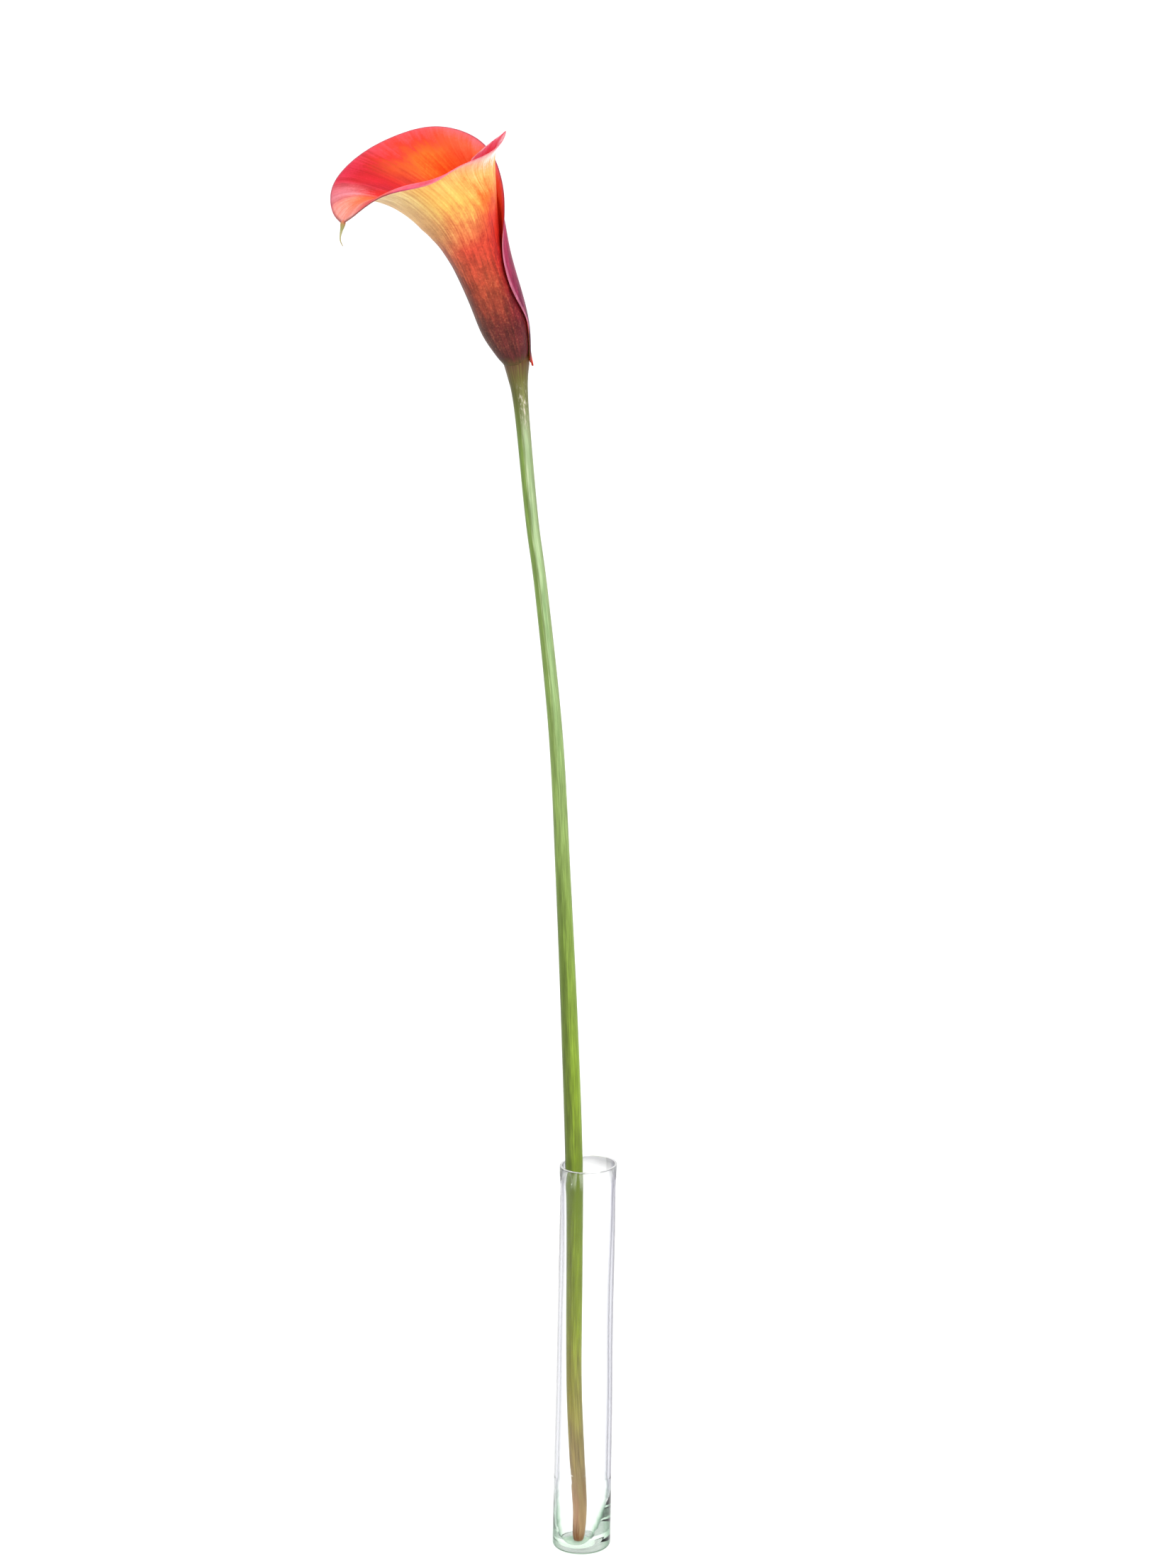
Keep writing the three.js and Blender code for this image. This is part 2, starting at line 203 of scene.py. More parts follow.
world = bpy.data.worlds.new("studio")
bpy.context.scene.world = world
world.use_nodes = True
world.node_tree.nodes.clear()
add = partial(add_node, world.node_tree)
parts = add("SeparateXYZ", {0: add("TexCoord").outputs["Generated"]}).outputs
behind = add("MapRange", {"Value": parts["Y"], "From Min": -0.5, "From Max": 0.3, "To Min": FRONT_LIGHT,
    "To Max": BACK_LIGHT}, **SOFT)
side = add("Math", {0: parts["X"]}, operation="ABSOLUTE")
card = add("MapRange", {"Value": side, "From Min": 0.55, "From Max": 0.9, "To Min": 1.0, "To Max": 0.35},
    **SOFT)
level = add("Math", {0: behind, 1: card}, **TIMES)
above = add("MapRange", {"Value": parts["Z"], "From Min": 0.1, "From Max": 0.7}, **SOFT)
strength = add("Mix", {0: above, 2: level, 3: TOP_LIGHT}, data_type="FLOAT")
tint = add("ValToRGB", {0: strength}, stops={0.2: "#c9c7d2", 0.8: "#ffffff"})
sky = add("Background", {"Color": tint, "Strength": strength})
add("OutputWorld", {"Surface": sky})


def softbox(name, at_mm, aim_mm, size_mm, watts):
    """A square area light at a place, turned to its aim."""
    data = bpy.data.lights.new(name, "AREA")
    data.size = size_mm * MM
    data.energy = watts
    light = put_in_scene(name, data)
    light.location = [v * MM for v in at_mm]
    aim = Vector(aim_mm) - Vector(at_mm)
    light.rotation_euler = aim.to_track_quat("-Z", "Y").to_euler()


softbox("key_softbox", (800, -1000, 1500), (-40, 0, 560), 600, 9)
softbox("fill_softbox", (-1000, -1200, 900), (-40, 0, 400), 800, 3)
bpy.context.scene.view_settings.view_transform = "Standard"
print("stage is lit")

# %% [markdown]
# The vase is a drawn glass tube, closed and thick at the foot, with a rim rounded in the
# flame. It is turned from one profile: up the outside, over the lip, down the inside and
# through the little bowl to the axis. Hand-drawn glass is never quite straight, so the tube
# leans a degree, its rim is a little out of square, and its wall ripples by some hundredths
# of a millimetre, which makes its highlights swim.

# %% Profile of the vase
VASE_HEIGHT = 180
FOOT_RADIUS = 13
NECK_RADIUS = 12.35
LIP_RADIUS = 12.73
WALL = 1.5
RIM_WALL = 0.9
FLOOR_THICKNESS = 1.2
FOOT_ROUNDING = 2.4
VASE_LEAN = 0.0175
RIM_SLANT = 0.035
RIM_SLANT_START = 150
THINNING_START = 120
THINNING_END = 175
FLARE_START = 168
FLARE_END = 179
BOWL_OFF_MIDDLE = -1.6
BOWL_TOP = 26
BOWL = [(0, FLOOR_THICKNESS), (3.6, FLOOR_THICKNESS), (5.4, 1.35), (7.4, 3.0), (9.1, 7.2),
        (10.35, 13.5), (11.1, 20)]


def through(points, count):
    """A smooth curve through given points, evenly spaced along it."""
    points = np.array(points, dtype=float)
    padded = np.vstack([2 * points[0] - points[1], points, 2 * points[-1] - points[-2]])
    fine = []
    for i in range(len(points) - 1):
        a, b, c, d = padded[i:i + 4]
        for u in np.linspace(0, 1, 24, endpoint=False):
            fine.append(0.5 * (2 * b + (c - a) * u + (2 * a - 5 * b + 4 * c - d) * u ** 2
                               + (3 * b - a - 3 * c + d) * u ** 3))
    fine = np.array(fine + [points[-1]])
    steps = np.linalg.norm(np.diff(fine[:, :3], axis=0), axis=1)
    travelled = np.concatenate([[0], np.cumsum(steps)])
    wanted = np.linspace(0, travelled[-1], count)
    return np.column_stack([np.interp(wanted, travelled, fine[:, k]) for k in range(fine.shape[1])])


def bowl_shift(z):
    """The bowl inside the foot sits off the middle, so the foot is thicker on the right."""
    return BOWL_OFF_MIDDLE * (1 - float(ease(z, 0, BOWL_TOP)))


def outer_radius(z):
    """The radius of the tube's outside between the foot and the flare of the rim."""
    return FOOT_RADIUS + (NECK_RADIUS - FOOT_RADIUS) * ease(z, 0, RIM_SLANT_START)


def inner_radius(z):
    """The radius of the tube's inside above the bowl; the wall thins towards the rim."""
    return outer_radius(z) - WALL + (WALL - RIM_WALL) * ease(z, THINNING_START, THINNING_END)


def lean(points):
    """Lean the tube and slant its rim, as the solid does."""
    points = np.array(points, dtype=float)
    slant = ease(points[:, 2], RIM_SLANT_START, VASE_HEIGHT)
    points[:, 2] += points[:, 0] * RIM_SLANT * slant
    points[:, 0] += points[:, 2] * VASE_LEAN
    return points


lip_width = LIP_RADIUS - NECK_RADIUS + RIM_WALL
lip_middle = LIP_RADIUS - lip_width / 2
corner = [(FOOT_RADIUS - FOOT_ROUNDING * (1 - math.sin(a)), FOOT_ROUNDING * (1 - math.cos(a)))
          for a in np.linspace(0, math.pi / 2, 9)]
outside = [(outer_radius(z), z) for z in np.linspace(6, FLARE_START, 55)]
flare = [(NECK_RADIUS + (LIP_RADIUS - NECK_RADIUS) * float(ease(z, FLARE_START, FLARE_END)), z)
         for z in np.linspace(FLARE_START + 2, VASE_HEIGHT - lip_width / 2, 8)]
lip = [(lip_middle + lip_width / 2 * math.cos(a), VASE_HEIGHT - lip_width / 2 * (1 - math.sin(a)))
       for a in np.linspace(0.2, math.pi - 0.2, 12)]
inside = [(inner_radius(z), z) for z in np.linspace(172, 24, 50)]
bowl = [(r, z) for r, z in through([(b, z, 0) for b, z in BOWL], 26)[::-1, :2]]
profile = [(0, 0), (6, 0)] + corner + outside + flare + lip + inside + bowl
print("vase profile has", len(profile), "points")

# %% Turn the vase
VASE_SIDES = 224
RIPPLE = 0.035
RIPPLE_START = 12
RIPPLE_FULL = 22
RIPPLE_WAVES = ((3, 0.05, 0), (5, -0.083, 1.3))


def turn_profile(profile, sides, first_inside):
    """Spin a profile that starts and ends on the axis into a closed skin."""
    ring = np.arange(sides) * 2 * math.pi / sides
    points = [(0, 0, profile[0][1])]
    for k, (r, z) in enumerate(profile[1:-1]):
        wave = RIPPLE * sum(np.sin(lobes * ring + twist * z + at) for lobes, twist, at in RIPPLE_WAVES)
        wave = wave * np.interp(z, (RIPPLE_START, RIPPLE_FULL), (0, 1)) * (z < VASE_HEIGHT - 3)
        shift = bowl_shift(z) if k + 1 >= first_inside else 0
        points += [((r + w) * math.cos(a) + shift, (r + w) * math.sin(a), z)
                   for a, w in zip(ring, wave)]
    points.append((bowl_shift(0), 0, profile[-1][1]))
    rings = len(profile) - 2
    last = len(points) - 1
    faces = [(0, 1 + (k + 1) % sides, 1 + k) for k in range(sides)] + join_rings(rings, sides, 1)
    base = 1 + (rings - 1) * sides
    faces += [(base + k, base + (k + 1) % sides, last) for k in range(sides)]
    return points, faces


first_inside = len(profile) - len(bowl) - len(inside)
points, faces = turn_profile(profile, VASE_SIDES, first_inside)
vase = make_mesh("glass_tube_vase", lean(points), faces)

# %% [markdown]
# Soda-lime glass is almost colourless through a thin wall and greenish grey through a thick
# one, because traces of iron take some red out of the light on its way. That tint is an
# absorption inside the glass. The surface colour adds painted shade on top of it: the wall
# turns dark grey-violet where it is seen edge-on, more on the right than on the left, and
# green and dark at the edges of the thick foot. A path tracer rarely finds its way to a lamp
# through curved glass, so shadow and diffuse rays pass it straight, or the stem inside would
# stay in the dark. The specular tint is dark, because a white room would veil the stem behind
# the glass. Flame-polished glass has no grain at all, so the eye sees only its edges and the
# light on its lip.

# %% Flame-polished soda-lime glass
THIN_LIP = 0.3
LIP_SHINE = 0.45
# Strength of the painted dark line on the lip's shoulders.
PAINTED_LIP_SHADE = 0.9
LIP_START = 170
LIP_FULL = 177
FOOT_START = 34
FOOT_FULL = 12

glass, add = start_material("flame-polished soda-lime glass")
facing = add("LayerWeight", {"Blend": 0.5}).outputs["Facing"]
# Painted shade: the wall turns dark grey-violet where it is seen edge-on.
painted_edge_shade = add("ValToRGB", {0: facing}, stops={0.46: "#ffffff", 0.56: "#b9b7c6", 0.72: "#3a3746",
    0.86: "#8a8798", 1.0: "#cfcdd9"})
place = add("SeparateXYZ", {0: add("TexCoord").outputs["Object"]}).outputs
# Painted shade: the edges are darker on the right than on the left, as a darker room on that side would
# make them.
right = add("MapRange", {"Value": place["X"], "From Min": -12 * MM, "From Max": 12 * MM, "To Min": 0.8})
painted_edge_shade_by_side = add("Mix", {0: right, 6: "#ffffff", 7: painted_edge_shade}, **COLOUR)
low = add("MapRange", {"Value": place["Z"], "From Min": FOOT_START * MM, "From Max": FOOT_FULL * MM},
    **SOFT)
thick_side = add("Math", {0: right, 1: low}, **TIMES)
deeper = add("Math", {0: thick_side, 1: 0.16, 2: facing}, operation="MULTIPLY_ADD")
# The edges of the thick foot turn green and dark: partly the iron tint of thick glass, partly painted
# shade, stronger on the right.
foot_tint_and_painted_shade = add("ValToRGB", {0: deeper}, stops={0.46: "#ffffff", 0.62: "#bcd6c0", 0.80: "#5c8468",
    1.0: "#3c5443"})
edge = add("Mix", {0: low, 6: painted_edge_shade_by_side, 7: foot_tint_and_painted_shade}, **COLOUR)
high = add("MapRange", {"Value": place["Z"], "From Min": LIP_START * MM, "From Max": LIP_FULL * MM}, **SOFT)
slope = add("SeparateXYZ", {0: add("NewGeometry").outputs["Normal"]}).outputs
# The shoulders of the round lip bend light away, so a fine dark line of painted shade runs beside the
# shine.
shoulder = add("ValToRGB", {0: slope["Z"]}, stops={0.02: "#000000", 0.15: "#ffffff", 0.55: "#ffffff",
    0.8: "#000000"})
dark = add("Math", {0: shoulder, 1: PAINTED_LIP_SHADE}, **TIMES)
painted_lip_shade = add("Math", {0: dark, 1: high}, **TIMES)
edge = add("Mix", {0: painted_lip_shade, 6: edge, 7: "#24222c"}, **COLOUR)
clear = add("BsdfPrincipled", {**CLEAR, "Base Color": edge, "IOR": 1.5})
thin = add("Math", {0: high, 1: THIN_LIP}, **TIMES)
see_through = add("BsdfTransparent", {"Color": "#ffffff"})
rim = add("MixShader", {0: thin, 1: clear, 2: see_through})
faces_up = add("MapRange", {"Value": slope["Z"], "From Min": 0.2, "From Max": 0.8, "To Max": LIP_SHINE})
lit = add("Math", {0: faces_up, 1: high}, **TIMES)
tint = add("VolumeAbsorption", {"Color": "#6fc98a", "Density": 9})
finish_clear(add, rim, lit, "#f6faf7", Volume=tint)
hand_over(vase, glass, "glass_vase")

# %% [markdown]
# The stem is one bare stalk, thicker towards its foot, that bends once under the weight of
# the bloom. Geometry Nodes carry a round section along a line of given points and
# raise the fine ribs that a calla stalk has, because the whole piece follows that one rule.
# The section's two counters, around and along, are kept as attributes for the material's
# streaks.

# %% Centre line of the stem
STEM_POINTS = [
    (-0.5, 0.0, 1.5, 2.3), (-0.5, 0.1, 6, 2.8), (-0.6, 0.3, 18, 3.05), (-1.3, 0.6, 33, 3.3),
    (-2.0, 0.8, 44, 3.45), (-3.3, 1.6, 80, 3.5), (-3.1, 2.2, 130, 3.7), (-3.2, 2.5, 180, 3.9),
    (-5.2, 2.5, 246, 3.7), (-7.8, 2.0, 310, 3.3), (-10.9, 1.4, 374, 3.05), (-16.9, 0.8, 437, 2.8),
    (-21.0, 0.5, 470, 2.8), (-24.6, 0.2, 510, 3.0), (-26.0, 0.0, 525, 3.5), (-26.8, 0.0, 532, 4.4),
    (-27.35, 0.0, 537.9, 5.45), (-27.9, 0.0, 540.5, 4.9), (-28.3, 0.0, 542.4, 3.4)]
STEM_RINGS = 620
stem_line = through(STEM_POINTS, STEM_RINGS)


def curve_object(name, line_mm):
    """A poly curve with a radius at each point, in metres."""
    data = bpy.data.curves.new(name, "CURVE")
    data.dimensions = "3D"
    spline = data.splines.new("POLY")
    spline.points.add(len(line_mm) - 1)
    for point, (x, y, z, radius) in zip(spline.points, line_mm):
        point.co = (x * MM, y * MM, z * MM, 1)
        point.radius = radius * MM
    return put_in_scene(name, data)


# %% A tree that carries a ribbed section along the line
def new_tree(name, sizes):
    """A geometry tree with named inputs, the helper that adds its nodes, and what it is given."""
    tree = bpy.data.node_groups.new(name, "GeometryNodeTree")
    for way in ("INPUT", "OUTPUT"):
        tree.interface.new_socket("Geometry", in_out=way, socket_type="NodeSocketGeometry")
    for label, value in sizes.items():
        kind = {int: "NodeSocketInt", float: "NodeSocketFloat"}.get(type(value), "NodeSocketMaterial")
        tree.interface.new_socket(label, in_out="INPUT", socket_type=kind)
    add = partial(add_node, tree)
    return tree, add, add("NodeGroupInput").outputs


def end_tree(add, shape, finish):
    """End a tree with smooth faces, real instances and the finish."""
    smooth = add("GeometryNodeSetShadeSmooth", {"Geometry": shape, "Shade Smooth": True})
    real = add("GeometryNodeRealizeInstances", {"Geometry": smooth})
    finished = add("GeometryNodeSetMaterial", {"Geometry": real, "Material": finish})
    add("NodeGroupOutput", {"Geometry": finished})


def run_tree(piece, tree, values):
    """Put the tree on a piece, set its inputs, and keep the result as a plain mesh."""
    modifier = piece.modifiers.new("shape", "NODES")
    modifier.node_group = tree
    for item in tree.interface.items_tree:
        if item.item_type == "SOCKET" and item.in_out == "INPUT" and item.name in values:
            modifier[item.identifier] = values[item.name]
    graph = bpy.context.evaluated_depsgraph_get()
    graph.update()
    mesh = bpy.data.meshes.new_from_object(piece.evaluated_get(graph), depsgraph=graph)
    piece.modifiers.remove(modifier)
    bpy.data.objects.remove(piece)
    return put_in_scene(tree.name, mesh)


stem_material, shade_stem = start_material("fresh waxy calla stalk")
stem_sizes = {"Sides": 72, "Ribs": 21.0, "Rib height": 0.06 * MM, "Seed": 3.0, "Finish": stem_material}
tree, add, given = new_tree("lily_stem", stem_sizes)
section = add("GeometryNodeCurvePrimitiveCircle", {"Resolution": given["Sides"], "Radius": 1.0})
share = add("GeometryNodeSplineParameter")
kept = {}
for name, curve in (("around", section), ("along", given["Geometry"])):
    kept[name] = add("GeometryNodeStoreNamedAttribute", {"Geometry": curve, "Name": name, "Value": share},
        domain="POINT", data_type="FLOAT")
thickness = add("GeometryNodeInputRadius")
skin = add("GeometryNodeCurveToMesh", {"Curve": kept["along"], "Profile Curve": kept["around"],
    "Scale": thickness, "Fill Caps": True})
turn = add("GeometryNodeInputNamedAttribute", {"Name": "around"}, data_type="FLOAT")
climb = add("GeometryNodeInputNamedAttribute", {"Name": "along"}, data_type="FLOAT")
angle = add("Math", {0: turn, 1: 2 * math.pi}, **TIMES)
rib_turn = add("Math", {0: angle, 1: given["Ribs"]}, **TIMES)
rib = add("Math", {0: rib_turn}, operation="COSINE")
wander_at = add("CombineXYZ", {"X": angle, "Y": climb})
wander = add("TexNoise", {"Vector": wander_at, "W": given["Seed"], "Scale": 2.2, "Detail": 2.0},
    noise_dimensions="4D")
rise = add("Math", {0: rib, 1: wander}, **TIMES)
height = add("Math", {0: rise, 1: given["Rib height"]}, **TIMES)
outward = add("GeometryNodeInputNormal")
push = add("VectorMath", {0: outward, "Scale": height}, operation="SCALE")
ribbed = add("GeometryNodeSetPosition", {"Geometry": skin, "Offset": push})
end_tree(add, ribbed, given["Finish"])
stem = run_tree(curve_object("stem_line", stem_line), tree, stem_sizes)
print("stem attributes:", [a.name for a in stem.data.attributes])

# %% [markdown]
# A calla stalk is grass green with fine pale and dark lines along it, greyer with a waxy
# bloom higher up, flushed purple-brown just under the flower, and tanned where it has stood
# in water. The colour therefore runs along the stem in a ramp and is broken up by noise
# stretched lengthwise, so that it reads as fibres. The ramp comes twice, as a painted shaded
# side and a painted lit side with a pale painted highlight stripe, mixed by which way the
# skin faces, so the side towards +X is the lit one.

# %% Fresh calla stalk
STALK_RADIUS = 3.3
STALK_LENGTH = 542
STALK_PATTERNS = {"fibre": (0.66, 16, 5.0, 0.6), "patch": (2.54, 18, 3.0, 0.5),
                  "speck": (0.66, 2.26, 4.0, 0.5), "line": (0.47, 45, 4.0, 0.5)}

add = shade_stem
along, turned = [add("Attribute", attribute_name=name).outputs["Fac"] for name in ("along", "around")]
circle = add("Math", {0: turned, 1: 2 * math.pi}, **TIMES)
circle_x = add("Math", {0: circle}, operation="COSINE")
circle_y = add("Math", {0: circle}, operation="SINE")
fibre_at = add("CombineXYZ", {"X": circle_x, "Y": circle_y, "Z": along})
# Each pattern is given by its width and its length in millimetres on the stalk.
stalk = {}
for name, (wide, long, detail, roughness) in STALK_PATTERNS.items():
    scale = (STALK_RADIUS / wide, STALK_RADIUS / wide, STALK_LENGTH / long)
    stretch = add("Mapping", {"Vector": fibre_at, "Scale": scale})
    stalk[name] = add("TexNoise", {"Vector": stretch, "Scale": 1.0, "Detail": detail,
        "Roughness": roughness})
fibre, patch, speck, line = stalk.values()
place = add("Math", {0: along, 1: 0.05}, operation="SUBTRACT")
for pattern, amount in ((patch, 0.06), (fibre, 0.04)):
    place = add("Math", {0: pattern, 1: amount, 2: place}, operation="MULTIPLY_ADD")
near_ends = add("MapRange", {"Value": along, "From Min": 0.93, "From Max": 0.95})
place = add("Mix", {0: near_ends, 2: place, 3: along}, data_type="FLOAT")
# Painted light: a ramp for the shaded side and one for the lit side, whose pale greens from 0.68 to 0.935
# are a painted highlight stripe.
painted_shade_side = add("ValToRGB", {0: place}, stops={0.0: "#b87444", 0.02: "#d6b08e", 0.07: "#bc9c70",
    0.13: "#ada045", 0.20: "#8e9430", 0.33: "#6f8226", 0.52: "#738e2d", 0.62: "#93b05a", 0.92: "#86a648",
    0.96: "#727a34", 0.98: "#6c642a", 1.0: "#6a4a26"})
painted_lit_side = add("ValToRGB", {0: place}, stops={0.0: "#b87444", 0.02: "#ceaa7a", 0.07: "#b89c6e",
    0.13: "#b5aa58", 0.20: "#a8b63b", 0.30: "#889c2e", 0.40: "#99b92f", 0.55: "#95b350", 0.68: "#abc77c",
    0.84: "#c6d6a8", 0.935: "#c0cea2", 0.96: "#a0a468", 0.98: "#848038", 1.0: "#7a5a2c"})
# The side facing +X gets the painted lit ramp; on the upper stem its far edge turns back to painted shade
# past the highlight.
slope = add("SeparateXYZ", {0: add("NewGeometry").outputs["Normal"]}).outputs
ragged = add("Math", {0: fibre, 1: 0.7, 2: slope["X"]}, operation="MULTIPLY_ADD")
toward_painted_light = add("MapRange", {"Value": ragged, "From Min": -0.1, "From Max": 0.55}, **SOFT)
past_painted_highlight = add("MapRange", {"Value": ragged, "From Min": 0.8, "From Max": 1.25, "To Max": 0.5}, **SOFT)
upper = add("MapRange", {"Value": along, "From Min": 0.55, "From Max": 0.75})
past_painted_highlight = add("Math", {0: past_painted_highlight, 1: upper}, **TIMES)
flank = add("Math", {0: toward_painted_light, 1: past_painted_highlight}, operation="SUBTRACT")
body = add("Mix", {0: flank, 6: painted_shade_side, 7: painted_lit_side}, **COLOUR)
for pattern, amount, greys in (
        (fibre, 0.4, {0.36: "#525252", 0.5: "#8a8a8a", 0.66: "#cccccc"}),
        (patch, 0.45, {0.36: "#6c6c6c", 0.64: "#a0a0a0"})):
    grey = add("ValToRGB", {0: pattern}, stops=greys)
    body = add("Mix", {0: amount, 6: body, 7: grey}, **COLOUR, blend_type="OVERLAY")
# Pale specks near the neck, only on the painted lit side: partly waxy bloom, partly painted highlight.
neck = add("ValToRGB", {0: along}, stops={0.93: "#000000", 0.96: "#ffffff", 0.98: "#000000"})
speckled = add("MapRange", {"Value": speck, "From Min": 0.52, "From Max": 0.66})
for share in (neck, flank):
    speckled = add("Math", {0: speckled, 1: share}, **TIMES)
wax_specks_and_painted_highlight = add("Mix", {0: speckled, 6: body, 7: "#dcd2c0"}, **COLOUR)
flush = add("Math", {0: line, 1: 0.06, 2: along}, operation="MULTIPLY_ADD")
flush_edge = add("MapRange", {"Value": flush, "From Min": 1.008, "From Max": 1.04})
flushed = add("Mix", {0: flush_edge, 6: wax_specks_and_painted_highlight, 7: "#53261f"}, **COLOUR)
bump = add("Bump", {"Height": fibre, "Strength": 0.3, "Distance": 0.0002})
shader = add("BsdfPrincipled", {"Base Color": flushed, "Roughness": 0.36, "IOR": 1.42,
    "Specular IOR Level": 0.35, "Normal": bump})
add("OutputMaterial", {"Surface": shader})
hand_over(stem, stem_material, "stem")

# %% [markdown]
# Water climbs a little where it touches the stem. One loop of points, from the stem's skin
# out over the floor, up the wall and back over the curved surface, is swept round the stem,
# so the water has the plain hole in which the stem stands. It reaches a hair into the glass
# and the stem, or a film of air would show between them. Water bends light with an index of
# 1.33, but the stem on the photo goes straight on through the surface, so 1.04 is used.
# What the eye sees of it is the bright creep round the stem.

# %% Water round the stem
WATER_LEVEL = 33.5
CREEP = 0.5
CREEP_REACH = 0.8
GAP_TO_GLASS = 7.5
OVERLAP = 0.08
WATER_SIDES = 96
CREEP_SHINE = 0.8


def bowl_radius(z):
    """The inside radius of the vase at a height, in the bowl or above it."""
    heights = [b[1] for b in BOWL[2:]] + [BOWL_TOP]
    radii = [b[0] for b in BOWL[2:]] + [inner_radius(BOWL_TOP)]
    return float(np.interp(z, heights, radii) if z < BOWL_TOP else inner_radius(z))


def stem_at(z):
    """The stem's centre and radius at a height."""
    return [float(np.interp(z, stem_line[:, 2], stem_line[:, k])) for k in (0, 1, 3)]


def water_point(angle, share, z):
    """A point between the stem's skin (share 0) and the glass (share 1)."""
    x, y, r = stem_at(z)
    near = np.array([x + (r - OVERLAP) * math.cos(angle), y + (r - OVERLAP) * math.sin(angle), z])
    r = bowl_radius(z) + OVERLAP
    far = lean([(r * math.cos(angle) + bowl_shift(z), r * math.sin(angle), z)])[0]
    return near * (1 - share) + far * share


low = FLOOR_THICKNESS + 0.4
loop = [(share, low) for share in np.linspace(0, 1, 5)]
loop += [(1, z) for z in np.linspace(low + 1, WATER_LEVEL, 26)]
for share in np.linspace(0.97, 0.02, 26):
    loop.append((share, WATER_LEVEL + CREEP * math.exp(-share * GAP_TO_GLASS / CREEP_REACH)))
loop += [(0, z) for z in np.linspace(WATER_LEVEL + CREEP, low + 1, 24)]
points = [water_point(a, share, z) for a in np.arange(WATER_SIDES) * 2 * math.pi / WATER_SIDES
          for share, z in loop]
faces = [face[::-1] for face in join_rings(WATER_SIDES, len(loop), closed=True)]
water = make_mesh("vase_water", points, faces)
water_material, add = start_material("clear still water")
clear = add("BsdfPrincipled", {**CLEAR, "Base Color": "#fdfefe", "IOR": 1.04})
place = add("SeparateXYZ", {0: add("TexCoord").outputs["Object"]}).outputs
slope = add("SeparateXYZ", {0: add("NewGeometry").outputs["Normal"]}).outputs
sloped = add("MapRange", {"Value": slope["Z"], "From Min": 0.98, "From Max": 0.85, "To Max": CREEP_SHINE})
at_top = add("Math", {0: place["Z"], 1: (WATER_LEVEL + 0.02) * MM}, operation="GREATER_THAN")
creeping = add("Math", {0: sloped, 1: at_top}, **TIMES)
finish_clear(add, clear, creeping, "#fcfdfd")
hand_over(water, water_material, "water")

# %% [markdown]
# The spadix is a fleshy finger with hundreds of tiny flowers set in a spiral: rounder
# green-gold ones with a knob below, and small powdery ones above. Geometry Nodes place them:
# point number n sits a fixed step up the finger and turned by the golden angle from the
# one before, which is how the plant itself packs them.

# %% Finger and florets of the spadix
FLOWER = np.array([-27.0, 0.0, 538.0])
SPADIX_POINTS = [(-1.45, 0, 4.5, 2.7), (-2.2, 0, 8.4, 2.9), (-5, 0, 17, 3.3), (-9.4, 0, 29, 3.4),
                 (-13.6, 0, 41, 3.3), (-16.2, 0, 49.3, 2.6), (-17.0, 0, 51.8, 1.6), (-17.3, 0, 52.6, 0.4)]
spadix_line = through(SPADIX_POINTS, 120)
spadix_line[:, :3] += FLOWER

spadix_material, shade_spadix = start_material("pollen-dusted florets")
spadix_sizes = {"Florets": 430, "Golden turn": 2.39996, "Female share": 0.24,
                "Floret radius": 0.52 * MM, "Seed": 5, "Finish": spadix_material}
tree, add, given = new_tree("lily_spadix", spadix_sizes)
section = add("GeometryNodeCurvePrimitiveCircle", {"Resolution": 40, "Radius": 1.0})
thickness = add("GeometryNodeInputRadius")
core = add("GeometryNodeCurveToMesh", {"Curve": given["Geometry"], "Profile Curve": section,
    "Scale": thickness, "Fill Caps": True})
seeds = add("GeometryNodePoints", {"Count": given["Florets"]})
index = add("GeometryNodeInputIndex")
order = add("Math", {0: index, 1: given["Florets"]}, operation="DIVIDE")
factor = add("Math", {0: order, 1: 0.955, 2: 0.035}, operation="MULTIPLY_ADD")
sample = add("GeometryNodeSampleCurve", {"Curves": given["Geometry"], "Factor": factor}, mode="FACTOR",
    data_type="FLOAT", use_all_curves=True)
tree.links.new(thickness.outputs[0], sample.inputs["Value"])
turn = add("Math", {0: index, 1: given["Golden turn"]}, **TIMES)
cosine = add("Math", {0: turn}, operation="COSINE")
sine = add("Math", {0: turn}, operation="SINE")
back = add("CombineXYZ", {"Y": 1.0})
across = add("VectorMath", {0: back, 1: sample.outputs["Tangent"]}, operation="CROSS_PRODUCT")
side_step = add("VectorMath", {0: across, "Scale": cosine}, operation="SCALE")
back_step = add("VectorMath", {0: back, "Scale": sine}, operation="SCALE")
spoke = add("VectorMath", {0: side_step, 1: back_step}, operation="ADD")
reach = add("VectorMath", {0: spoke, "Scale": sample}, operation="SCALE")
spot = add("VectorMath", {0: sample.outputs["Position"], 1: reach}, operation="ADD")
placed = add("GeometryNodeSetPosition", {"Geometry": seeds, "Position": spot})
female = add("FunctionNodeCompare", {0: order, 1: given["Female share"]}, data_type="FLOAT",
    operation="LESS_THAN")
vary = add("FunctionNodeRandomValue", {2: 0.82, 3: 1.14, "Seed": given["Seed"]}, data_type="FLOAT")
bead = add("GeometryNodeMeshIcoSphere", {"Radius": given["Floret radius"], "Subdivisions": 2})
plump = add("Math", {0: female, 1: 0.45, 2: 1.0}, operation="MULTIPLY_ADD")
size = add("Math", {0: plump, 1: vary}, **TIMES)
facing = add("FunctionNodeAlignRotationToVector", {"Vector": spoke}, axis="Z")
copies = add("GeometryNodeInstanceOnPoints", {"Points": placed, "Instance": bead, "Rotation": facing,
    "Scale": size})
both = add("GeometryNodeJoinGeometry")
tree.links.new(core.outputs[0], both.inputs[0])
tree.links.new(copies.outputs[0], both.inputs[0])
end_tree(add, both, given["Finish"])
